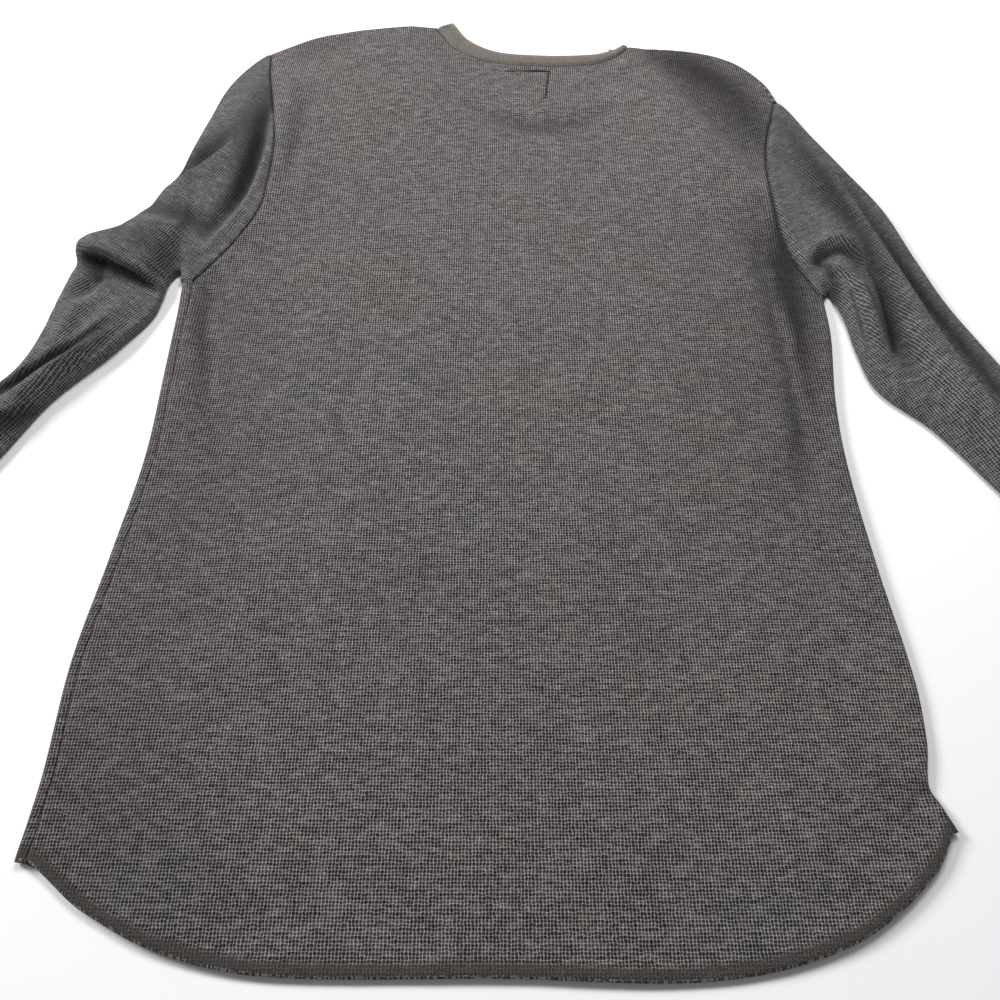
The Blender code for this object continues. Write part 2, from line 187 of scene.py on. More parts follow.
# %% Sleeve sections
# Each section: its name, the outer fold's x and y, the inner fold's, and five heights across
LEFT_SLEEVE = (
    ("cap", -256, 812, -266, 560, 16, 18.5, 19.5, 18.5, 9),
    ("upper_arm", -271, 742, -270, 555, 17, 19.6, 20.0, 18.6, 9.5),
    ("bicep", -287, 670, -272, 550, 18, 20.6, 20.8, 18.4, 10),
    ("fold_ridge", -317, 606, -273, 544, 22, 25, 24, 20.4, 10.6),
    ("fold_edge", -351, 575, -273, 536, 25, 28, 26, 22, 11),
    ("below_fold", -353, 550, -276, 518, 13, 12, 12, 11, 8),
    ("elbow", -357, 497, -297, 479, 16, 20, 14, 16, 9),
    ("forearm", -373, 441, -338, 424, 15, 12, 18, 18, 8),
    ("low_forearm", -424, 410, -360, 377, 10, 12, 16, 16, 8),
    ("wrist", -482, 335, -405, 290, 9, 11, 12, 11, 9),
    ("mouth", -510, 290, -430, 245, 9, 11, 12, 11, 9),
)
RIGHT_SLEEVE = (
    ("cap", 285, 733, 268, 535, 14, 15, 14, 14, 9),
    ("upper_arm", 310, 684, 270, 531, 11, 13, 16, 16, 10),
    ("bicep", 333, 634, 271, 526, 9, 12, 17, 17, 11),
    ("inner_turn", 348, 570, 274, 510, 9, 12, 18, 18, 11),
    ("elbow", 361, 518, 277, 474, 9, 12, 18, 16, 10),
    ("below_elbow", 376, 478, 284, 438, 9, 12, 18, 15, 9),
    ("forearm", 397, 429, 317, 400, 9, 12, 17, 13, 8),
    ("low_forearm", 427, 376, 351, 345, 9, 12, 14, 12, 8),
    ("wrist", 495, 265, 412, 237, 9, 11, 12, 11, 9),
    ("mouth", 523, 217, 440, 187, 9, 11, 12, 11, 9),
)
print("sections:", len(LEFT_SLEEVE), "on the left,", len(RIGHT_SLEEVE), "on the right")

# %% [markdown]
# ## Camera, light and floor
#
# The camera stands where a person holding a phone would, a little over half a metre above the
# hem and looking down at the top at about 58 degrees. It comes first, because it decides which
# folds are worth the work. Low daylight comes from a window on the left, beyond the neck, so it
# grazes the knit and keeps its relief readable. A small lamp above the chest lifts the collar.

# %% Camera
# Its height in metres, how far it looks down in degrees, and its lens as a share of the sensor
CAMERA_HEIGHT = 0.54
CAMERA_PITCH = 57.85
SENSOR_WIDTH = 36.0
FOCAL_SHARE = 0.905


def place_camera():
    data = bpy.data.cameras.new("camera")
    data.sensor_width = SENSOR_WIDTH
    data.lens = SENSOR_WIDTH * FOCAL_SHARE
    data.dof.use_dof = False
    camera = bpy.data.objects.new("camera", data)
    bpy.context.scene.collection.objects.link(camera)
    camera.location = (-MIDDLE[0] * MM, -MIDDLE[1] * MM, CAMERA_HEIGHT)
    camera.rotation_euler = (math.radians(90 - CAMERA_PITCH), 0, 0)
    bpy.context.scene.camera = camera
    print("camera at", tuple(round(v, 3) for v in camera.location), "lens", data.lens)


place_camera()

# %% Floor and lights
FLOOR_SIZE = 8
FLOOR_COLOUR = (0.9, 0.9, 0.9, 1.0)
FLOOR_ROUGHNESS = 0.8
SKY_COLOUR = (0.97, 0.98, 1.0, 1.0)
SKY_STRENGTH = 0.22
# Name, place, target, size in metres, power in watts
LIGHTS = (
    ("window", (-2.3, 1.0, 1.6), (0, 0, 0), (1.0, 0.9), 86),
    ("lamp", (0.12, 0.5, 1.12), (0.05, 0.2, 0), (0.7, 0.5), 11.5),
)


def place_floor():
    bpy.ops.mesh.primitive_plane_add(size=FLOOR_SIZE, location=(0, 0, 0))
    floor = bpy.context.object
    floor.name = "floor"
    material = bpy.data.materials.new("pale_floor")
    material.use_nodes = True
    shader = material.node_tree.nodes["Principled BSDF"]
    shader.inputs["Base Color"].default_value = FLOOR_COLOUR
    shader.inputs["Roughness"].default_value = FLOOR_ROUGHNESS
    floor.data.materials.append(material)
    floor.select_set(False)


def place_light(name, place, target, size, power):
    data = bpy.data.lights.new(name, "AREA")
    data.shape = "RECTANGLE"
    data.size, data.size_y = size
    data.energy = power
    light = bpy.data.objects.new(name, data)
    light.location = place
    way = Vector(target) - Vector(place)
    light.rotation_euler = way.to_track_quat("-Z", "Y").to_euler()
    bpy.context.scene.collection.objects.link(light)


def light_room():
    world = bpy.data.worlds.new("soft_room")
    world.use_nodes = True
    sky = world.node_tree.nodes["Background"]
    sky.inputs["Color"].default_value = SKY_COLOUR
    sky.inputs["Strength"].default_value = SKY_STRENGTH
    bpy.context.scene.world = world
    for light in LIGHTS:
        place_light(*light)
    bpy.context.scene.view_settings.view_transform = "Standard"
    bpy.context.scene.view_settings.look = "None"


place_floor()
light_room()
print("lights:", [light[0] for light in LIGHTS])

# %% [markdown]
# ## From measurements to sheets
#
# A pattern piece is a patch between four edges. We draw each edge as a smooth line through its
# table, stretch a net between them, and lift the net to the height at which the cloth lies.
# Where the cloth turns over an edge, the net runs on round a half circle.


# %% Smooth lines and nets
NEARLY = 1e-9
SHORTEST = 1e-6
VALUE_SPREAD = 25


def smooth_blend(t, start, end, leaving, arriving):
    """From start to end, with the ways it leaves and arrives given over the whole span."""
    near = start * (2 * t**3 - 3 * t**2 + 1) + leaving * (t**3 - 2 * t**2 + t)
    return near + (end * (3 * t**2 - 2 * t**3) + arriving * (t**3 - t**2))


def span_of(marks, where):
    """Which span of the marks each place is in, its length and how far into it the place lies."""
    i = np.clip(np.searchsorted(marks, where, side="right") - 1, 0, len(marks) - 2)
    span = (marks[i + 1] - marks[i])[:, None]
    return i, span, (where[:, None] - marks[i][:, None]) / span


def smooth_line(knots, shares):
    """Points at shares of the length of a smooth line through the knots."""
    knots = np.array(knots, float)
    steps = np.maximum(np.linalg.norm(np.diff(knots, axis=0), axis=1), SHORTEST)
    marks = np.concatenate([[0.0], np.cumsum(steps)])
    slopes = np.empty_like(knots)
    slopes[1:-1] = (knots[2:] - knots[:-2]) / (marks[2:] - marks[:-2])[:, None]
    slopes[0] = (knots[1] - knots[0]) / steps[0]
    slopes[-1] = (knots[-1] - knots[-2]) / steps[-1]
    i, span, t = span_of(marks, np.clip(shares, 0, 1) * marks[-1])
    return smooth_blend(t, knots[i], knots[i + 1], slopes[i] * span, slopes[i + 1] * span)


def plan_line(table, shares):
    return smooth_line([row[1:3] for row in table], np.asarray(shares, float))


def eased(t):
    t = np.clip(t, 0, 1)
    return t * t * (3 - 2 * t)


def net_between(bottom, top, left, right, ups, acrosses):
    """A net of plan points between four edges, rows from the hem to the neck."""
    u = acrosses[None, :, None]
    v = ups[:, None, None]
    ruled = bottom[None] * (1 - v) + top[None] * v + left[:, None] * (1 - u) + right[:, None] * u
    corners = bottom[0] * (1 - u) * (1 - v) + bottom[-1] * u * (1 - v)
    corners = corners + top[0] * (1 - u) * v + top[-1] * u * v
    return ruled - corners


def five_across(values, shares):
    """A smooth line through five values spread evenly across a layer."""
    return smooth_line([(VALUE_SPREAD * k, v) for k, v in enumerate(values)], shares)[:, 1]


def back_height(acrosses, ups):
    """How high the back lies, for every pair of a width share and a height share."""
    shares = np.array([row[1] for row in BACK_HEIGHT])
    lines = np.array([five_across(row[2:], acrosses) for row in BACK_HEIGHT])
    slopes = np.gradient(lines, shares, axis=0)
    i, span, t = span_of(shares, ups)
    return smooth_blend(t, lines[i], lines[i + 1], slopes[i] * span, slopes[i + 1] * span)


# %% Turning the cloth over an edge
def turned_under(edge, outward, turns, run_on):
    """Rows that carry an edge round a half circle to the table, then run_on mm back under."""
    radius = edge[:, 2:3] / 2
    flat_out = np.hstack([outward, np.zeros((len(outward), 1))])
    rows = []
    for turn in turns:
        row = edge + flat_out * radius * math.sin(turn)
        row[:, 2] = (radius + radius * math.cos(turn))[:, 0]
        rows.append(row)
    if run_on:
        rows.append(rows[-1] - flat_out * run_on)
    return np.array(rows)


TURN_STEPS = 10
TURNS = np.linspace(0, math.pi, TURN_STEPS + 1)[1:]
print("a half circle is turned in", len(TURNS), "steps")

# %% [markdown]
# ## The back
#
# The back is one patch. At its right side it turns under the top, and over both shoulders it
# turns down to the shoulder seams. Rows and columns lie closer together near the edges, where
# seams, hems and puckers need more points than the plain middle does.


# %% Rows and columns
# The lengths they run over in millimetres, and how far they crowd towards the ends
SIDE_LENGTH = 450
ARMHOLE_LENGTH = 310
LEFT_WIDTH, NECK_WIDTH, RIGHT_WIDTH = 175, 195, 141
EDGE_CROWDING = 0.55
NECK_CROWDING = 0.2


def spaced(length, step, crowding=EDGE_CROWDING):
    """Shares from 0 to 1, about step mm apart over a length, closer together at both ends."""
    t = np.linspace(0, 1, int(round(length / step)) + 1)
    return t - crowding * np.sin(2 * math.pi * t) / (2 * math.pi)


def joined_shares(*runs):
    """Shares over several runs, each given as (low, high, shares within it)."""
    parts = [low + (high - low) * shares for low, high, shares in runs]
    return np.concatenate([parts[0]] + [part[1:] for part in parts[1:]])


def shares_for(side_step, top_step, outer_step, neck_step):
    """The height shares of the rows and the width shares of the columns."""
    ups = joined_shares(
        (0, UNDERARM_HEIGHT, spaced(SIDE_LENGTH, side_step)),
        (UNDERARM_HEIGHT, 1, spaced(ARMHOLE_LENGTH, top_step)),
    )
    acrosses = joined_shares(
        (0, NECK_SHARES[0], spaced(LEFT_WIDTH, outer_step)),
        (NECK_SHARES[0], NECK_SHARES[1], spaced(NECK_WIDTH, neck_step, NECK_CROWDING)),
        (NECK_SHARES[1], 1, spaced(RIGHT_WIDTH, outer_step)),
    )
    return ups, acrosses


# %% The edges of a panel
# From these shares on, an armhole and a shoulder are drawn straight to their corner
ARMHOLE_BEND = 7 / 8
SHOULDER_BEND = 6 / 7
OUTWARD_STEP = 0.05


def armhole_share(ups):
    return (ups - UNDERARM_HEIGHT) / (1 - UNDERARM_HEIGHT)


def side_fade(ups):
    """1 up to the underarm, then down to 0 along the armhole."""
    return np.clip(1 - armhole_share(ups) / ARMHOLE_FADE, 0, 1)


def eased_to(line, shares, corner, from_share):
    """Points of a line, the last stretch of it drawn straight to a corner."""
    points = line(shares)
    bend = line(np.array([from_share]))[0]
    t = np.clip((shares - from_share) / (1 - from_share), 0, 1)[:, None]
    return np.where(shares[:, None] > from_share, bend * (1 - t) + corner * t, points)


def panel_side(side_table, armhole_table, ups, inset, tip):
    """One side of a panel, moved in from the fold by an inset that fades above the underarm."""
    low = ups <= UNDERARM_HEIGHT
    points = np.empty((len(ups), 2))
    points[low] = plan_line(side_table, ups[low] / UNDERARM_HEIGHT)
    points[~low] = eased_to(
        lambda s: plan_line(armhole_table, s), armhole_share(ups[~low]), tip, ARMHOLE_BEND
    )
    points[:, 0] += inset * side_fade(ups)
    return points


def shoulder_outward(table, shares):
    """Which way a shoulder's far edge faces, in plan."""
    along = plan_line(table, shares + OUTWARD_STEP) - plan_line(table, shares - OUTWARD_STEP)
    outward = np.stack([-along[:, 1], along[:, 0]], axis=1)
    return outward / np.linalg.norm(outward, axis=1, keepdims=True)


def side_height(across, ups):
    return back_height(np.array([across]), ups)[:, 0]


# %% The back's net
def shoulder_edge(table, shares, heights, neck_point):
    """Where the shoulder starts to turn down, from the tip towards the neck."""
    tip_first = shares if table is LEFT_SHOULDER else 1 - shares
    outward = shoulder_outward(table, shares)
    points = plan_line(table, shares) - outward * heights[:, None] / 2
    bend = np.array([SHOULDER_BEND if table is LEFT_SHOULDER else 1 - SHOULDER_BEND])
    bend_height = np.interp(bend, shares, heights)
    start = plan_line(table, bend) - shoulder_outward(table, bend) * bend_height[:, None] / 2
    t = np.clip((tip_first - SHOULDER_BEND) / (1 - SHOULDER_BEND), 0, 1)[:, None]
    return np.where(t > 0, start * (1 - t) + neck_point * t, points), outward


def meet_sides(bottom, sides, acrosses):
    """Draws a hem's two ends smoothly to the ends of the sides."""
    near_left = eased((END_SHARE - acrosses) / END_SHARE)[:, None]
    near_right = eased((acrosses - 1 + END_SHARE) / END_SHARE)[:, None]
    left_gap, right_gap = sides[0][0] - bottom[0], sides[1][0] - bottom[-1]
    return bottom + near_left * left_gap + near_right * right_gap


def make_back(ups, acrosses):
    low, high = NECK_SHARES
    left = acrosses <= low + NEARLY
    right = acrosses >= high - NEARLY
    neck = ~left & ~right
    far = back_height(acrosses, np.array([1.0]))[0]
    left_share = acrosses[left] / low
    right_share = (acrosses[right] - high) / (1 - high)
    top = np.empty((len(acrosses), 2))
    outward = np.zeros((len(acrosses), 2))
    ends = plan_line(BACK_NECK, [0, 1])
    top[left], outward[left] = shoulder_edge(LEFT_SHOULDER, left_share, far[left], ends[0])
    top[right], outward[right] = shoulder_edge(RIGHT_SHOULDER, right_share, far[right], ends[1])
    top[neck] = plan_line(BACK_NECK, (acrosses[neck] - low) / (high - low))
    radius_left = side_height(0.0, ups) / 2
    radius_right = side_height(1.0, ups) / 2
    sides = (
        panel_side(LEFT_SIDE, LEFT_ARMHOLE, ups, radius_left + SIDE_SEAM_INSET, top[0]),
        panel_side(RIGHT_SIDE, RIGHT_ARMHOLE, ups, -radius_right, top[-1]),
    )
    bottom = meet_sides(plan_line(BACK_HEM, acrosses), sides, acrosses)
    plan = net_between(bottom, top, sides[0], sides[1], ups, acrosses)
    face = np.concatenate([plan, back_height(acrosses, ups)[:, :, None]], axis=2)
    low_rows = ups <= UNDERARM_HEIGHT + NEARLY
    edge = face[low_rows, -1]
    facing = np.tile([1.0, 0.0], (len(edge), 1))
    right_fold = turned_under(edge, facing, TURNS, UNDER_SEAM_INSET)
    right_fold = np.concatenate([edge[None], right_fold]).transpose(1, 0, 2)
    shoulders = []
    for where in (left, right):
        line = face[-1, where]
        fold = turned_under(line, outward[where], TURNS, SHOULDER_SEAM_INSET)
        shoulders.append(np.concatenate([line[None], fold]))
    return {
        "face": face, "right_fold": right_fold, "shoulders": shoulders,
        "left": left, "right": right, "outward": outward, "low_rows": low_rows,
    }


# How far apart the rows and columns lie, in millimetres
ups, acrosses = shares_for(side_step=3.9, top_step=3.0, outer_step=3.8, neck_step=2.2)
back = make_back(ups, acrosses)
print("back net:", back["face"].shape[:2], "rows and columns")


# %% The front's net
def make_front(ups, acrosses):
    """The front lies on the table and turns up round the left side to the side seam."""
    guide = make_back(ups, acrosses)
    low, high = NECK_SHARES
    neck = ~guide["left"] & ~guide["right"]
    top = np.empty((len(acrosses), 2))
    for where, fold in zip((guide["left"], guide["right"]), guide["shoulders"]):
        top[where] = fold[-1, :, :2] - guide["outward"][where] * SEAM_GAP
    top[neck] = plan_line(FRONT_NECK, (acrosses[neck] - low) / (high - low))
    radius_left = side_height(0.0, ups) / 2
    under = side_height(1.0, ups) / 2 + UNDER_SEAM_INSET + SEAM_GAP
    sides = (
        panel_side(LEFT_SIDE, LEFT_ARMHOLE, ups, radius_left, top[0]),
        panel_side(RIGHT_SIDE, RIGHT_ARMHOLE, ups, -under, top[-1]),
    )
    bottom = meet_sides(plan_line(FRONT_HEM, acrosses), sides, acrosses)
    plan = net_between(bottom, top, sides[0], sides[1], ups, acrosses)
    face = np.concatenate([plan, np.zeros(plan.shape[:2] + (1,))], axis=2)
    low_rows = guide["low_rows"]
    seam = guide["face"][low_rows, 0]
    start = np.stack([face[low_rows, 0, 0], face[low_rows, 0, 1], seam[:, 2]], axis=1)
    facing = np.tile([-1.0, 0.0], (len(start), 1))
    turned = turned_under(start, facing, TURNS, 0)
    meeting = seam - np.array([STITCHED_GAP, 0, 0])
    inner = (2 * meeting + start) / 3
    outer = (meeting + 2 * start) / 3
    fold = np.concatenate([np.stack([meeting, inner, outer, start]), turned])
    fold[-1] = face[low_rows, 0]
    return {"face": face, "left_fold": fold.transpose(1, 0, 2), "low_rows": low_rows}


# Hidden underneath, the front shares the back's rows and has fewer columns
front_acrosses = shares_for(side_step=5.5, top_step=5.0, outer_step=5.5, neck_step=5.0)[1]
front = make_front(ups, front_acrosses)
print("front net:", front["face"].shape[:2], "rows and columns")


# %% [markdown]
# ## The sleeves
#
# A sleeve is a tube, so its net is a stack of rings. The first ring follows the armhole: down
# the back, round the underarm, up the front and over the shoulder's tip. The others are the
# flattened sections of the table. Above the left elbow the cloth has slumped into a fold that
# overhangs the forearm. Its upper layer runs out over the ring below and back under itself.

# %% Sleeve measures
SLEEVE_TOP = 74
SLEEVE_UNDER = 34
SLEEVE_TURN = 8
SLEEVE_STEP = 2.6
LEAST_GAP = 0.2
# How far the cap's second ring follows the run beyond it, and which of its gaps sets the steps
CAP_WAY = 0.75
GAP_RANK = 80
# How far the upper layer is drawn towards the mouth at five places across a named section
LEFT_DRAWN = {
    "fold_edge": (2, 4, 5, 4, 2),
    "tuck": (-5, -11, -12, -10, -4),
}
TUCK = ("tuck", -352, 562, -275, 527, 15, 15, 14, 13, 9)


def even_points(line, count):
    """A line through the same places with count even steps."""
    marks = np.concatenate([[0], np.cumsum(np.linalg.norm(np.diff(line, axis=0), axis=1))])
    where = np.linspace(0, marks[-1], count + 1)
    return np.stack([np.interp(where, marks, line[:, k]) for k in range(3)], axis=1)


def level_ways(line, turn):
    """The level way square to each point of a line; turn is 1 for its left and -1 for its right."""
    along = np.gradient(line[:, :2], axis=0)
    ways = np.stack([-along[:, 1], along[:, 0]], axis=1) * turn
    return ways / np.maximum(np.linalg.norm(ways, axis=1, keepdims=True), NEARLY)


def ways_round(parts, turns, steps):
    """Level ways for two seam lines and for the two folds that join them."""
    first, second = (level_ways(part, turn) for part, turn in zip(parts, turns))
    t = np.linspace(0, 1, steps + 1)[1:-1, None]
    near = first[-1] * (1 - t) + second[0] * t
    far = second[-1] * (1 - t) + first[0] * t
    ways = np.concatenate([first, near, second, far])
    ways /= np.linalg.norm(ways, axis=1, keepdims=True)
    return np.hstack([ways, np.zeros((len(ways), 1))])


def armhole_ring(side):
    """The armhole's edge all round, with the level way out of the body at each point."""
    column = 0 if side < 0 else -1
    high = ups >= UNDERARM_HEIGHT - NEARLY
    down = even_points(back["face"][high, column][::-1], SLEEVE_TOP)
    rise = even_points(front["face"][high, column], SLEEVE_UNDER)
    under = front["left_fold"][-1] if side < 0 else back["right_fold"][-1]
    under = np.concatenate([down[-1:], under, rise[:1]])
    tip = back["shoulders"][0 if side < 0 else 1][::-1, column]
    over = np.concatenate([rise[-1:], tip, down[:1]])
    ways = ways_round((down, rise), (side, -side), SLEEVE_TURN)
    under = even_points(under, SLEEVE_TURN)[1:-1]
    over = even_points(over, SLEEVE_TURN)[1:-1]
    return np.concatenate([down, under, rise, over]), ways


def half_turn(start, outward, radius, steps):
    """Points round a half circle from a layer down to the table, without its two ends."""
    turns = np.linspace(0, math.pi, steps + 1)[1:-1, None]
    level = start[None, :2] + outward[None] * radius * np.sin(turns)
    return np.hstack([level, radius + radius * np.cos(turns)])


def sleeve_section(row, drawn):
    """One ring: over the upper layer, round the inner fold and back underneath."""
    outer, inner = np.array(row[1:3], float), np.array(row[3:5], float)
    heights = row[5:]
    across = (inner - outer) / np.linalg.norm(inner - outer)
    start = outer + across * heights[0] / 2
    end = inner - across * heights[-1] / 2
    shares = np.linspace(0, 1, SLEEVE_TOP + 1)
    upper = start + (end - start) * shares[:, None]
    upper = np.hstack([upper, five_across(heights, shares)[:, None]])
    shares = np.linspace(0, 1, SLEEVE_UNDER + 1)[:, None]
    lower = np.hstack([end + (start - end) * shares, np.zeros_like(shares)])
    inner_turn = half_turn(upper[-1], across, heights[-1] / 2, SLEEVE_TURN)
    outer_turn = half_turn(upper[0], -across, heights[0] / 2, SLEEVE_TURN)[::-1]
    if row[0] in drawn:
        to_mouth = np.array([across[1], -across[0]])
        if to_mouth[1] > 0:
            to_mouth = -to_mouth
        amounts = five_across(drawn[row[0]], np.linspace(0, 1, SLEEVE_TOP + 1))
        upper[:, :2] += to_mouth * amounts[:, None]
        fading = eased(np.linspace(1, 0, SLEEVE_TURN + 1)[1:-1])[:, None]
        inner_turn[:, :2] += to_mouth * amounts[-1] * fading
        outer_turn[:, :2] += to_mouth * amounts[0] * fading[::-1]
    return np.concatenate([upper, inner_turn, lower, outer_turn])


def ring_run(knots, step):
    """Rings on a smooth run through the knot rings, about step mm apart."""
    knots = np.array(knots)
    leaps = np.diff(knots, axis=0)
    gaps = np.maximum(np.linalg.norm(leaps, axis=2, keepdims=True), LEAST_GAP)
    slopes = leaps / gaps
    middle = (slopes[:-1] * gaps[1:] + slopes[1:] * gaps[:-1]) / (gaps[:-1] + gaps[1:])
    ways = np.concatenate([slopes[:1], middle, slopes[-1:]])
    ways[1] = (1 - CAP_WAY) * slopes[0] + CAP_WAY * slopes[1]
    rings = [knots[0]]
    for first, second, gap, leaving, arriving in zip(knots, knots[1:], gaps, ways, ways[1:]):
        steps = max(int(round(np.percentile(gap, GAP_RANK) / step)), 1)
        for t in np.linspace(0, 1, steps + 1)[1:]:
            rings.append(smooth_blend(t, first, second, gap * leaving, gap * arriving))
    return np.array(rings)


def make_sleeve(side, table, drawn):
    edge, ways = armhole_ring(side)
    knots = [edge + ways * STITCHED_GAP, edge + ways * SEAM_EASE]
    knots += [sleeve_section(row, drawn) for row in table]
    return ring_run(knots, SLEEVE_STEP)


fold_place = [row[0] for row in LEFT_SLEEVE].index("fold_edge") + 1
left_table = LEFT_SLEEVE[:fold_place] + (TUCK,) + LEFT_SLEEVE[fold_place:]
sleeves = {
    "left": make_sleeve(-1, left_table, LEFT_DRAWN),
    "right": make_sleeve(1, RIGHT_SLEEVE, {}),
}
print("sleeve rings:", {name: rings.shape[:2] for name, rings in sleeves.items()})


# %% [markdown]
# ## The neckband
#
# The neckband is a strip of rib, folded double and sewn on all round. Its ring starts at the
# neck seam, swells a little over its width, and rolls over at the free edge.

# %% Neckband
NECK_BACK_POINTS = 110
NECK_FRONT_POINTS = 90
NECK_TURN = 10
# Where the band is on the upper side: from this height, and where its lift begins and is full
BAND_UPPER = 3
BAND_LIFT_FROM = 1.0
BAND_LIFT_OVER = 6.0
# How far out each ring of the band lies, and how much it is lifted there
BAND_PROFILE = (
    (0.3, -0.5), (1.2, -0.3), (2.5, 0.4), (4.5, 0.9), (7.0, 1.1), (9.5, 1.1), (12.0, 1.0),
    (14.0, 0.9), (16.0, 0.9), (17.6, 0.8), (19.0, 0.5), (19.8, 0.0), (20.0, -0.5),
)
# How much of its width the band shows along the back of the neck: place, x, share
BAND_NARROWING = (
    ("left", -60, 0.95),
    ("middle", 20, 0.86),
    ("right_low", 88, 0.80),
    ("right_turn", 112, 0.62),
    ("right_point", 128, 0.35),
)


def neck_ring():
    low, high = NECK_SHARES
    here = (acrosses >= low - NEARLY) & (acrosses <= high + NEARLY)
    over = even_points(back["face"][-1, here], NECK_BACK_POINTS)
    here = (front_acrosses >= low - NEARLY) & (front_acrosses <= high + NEARLY)
    under = even_points(front["face"][-1, here][::-1], NECK_FRONT_POINTS)
    right = np.concatenate([over[-1:], back["shoulders"][1][:, 0], under[:1]])
    left = np.concatenate([under[-1:], back["shoulders"][0][::-1, -1], over[:1]])
    ways = ways_round((over, under), (1, -1), NECK_TURN)
    right = even_points(right, NECK_TURN)[1:-1]
    left = even_points(left, NECK_TURN)[1:-1]
    return np.concatenate([over, right, under, left]), ways


def make_neckband():
    edge, ways = neck_ring()
    upper = eased((edge[:, 2] - BAND_LIFT_FROM) / BAND_LIFT_OVER)
    rings = []
    narrowing = np.array([row[1:] for row in BAND_NARROWING])
    share = np.interp(edge[:, 0], narrowing[:, 0], narrowing[:, 1])[:, None]
    share = np.where(edge[:, 2:3] > BAND_UPPER, share, 1.0)
    for width, lift in BAND_PROFILE:
        ring = edge + ways * width * share
        ring[:, 2] += lift * upper
        rings.append(ring)
    return np.array(rings)


neckband = make_neckband()
print("neckband rings:", neckband.shape[:2])
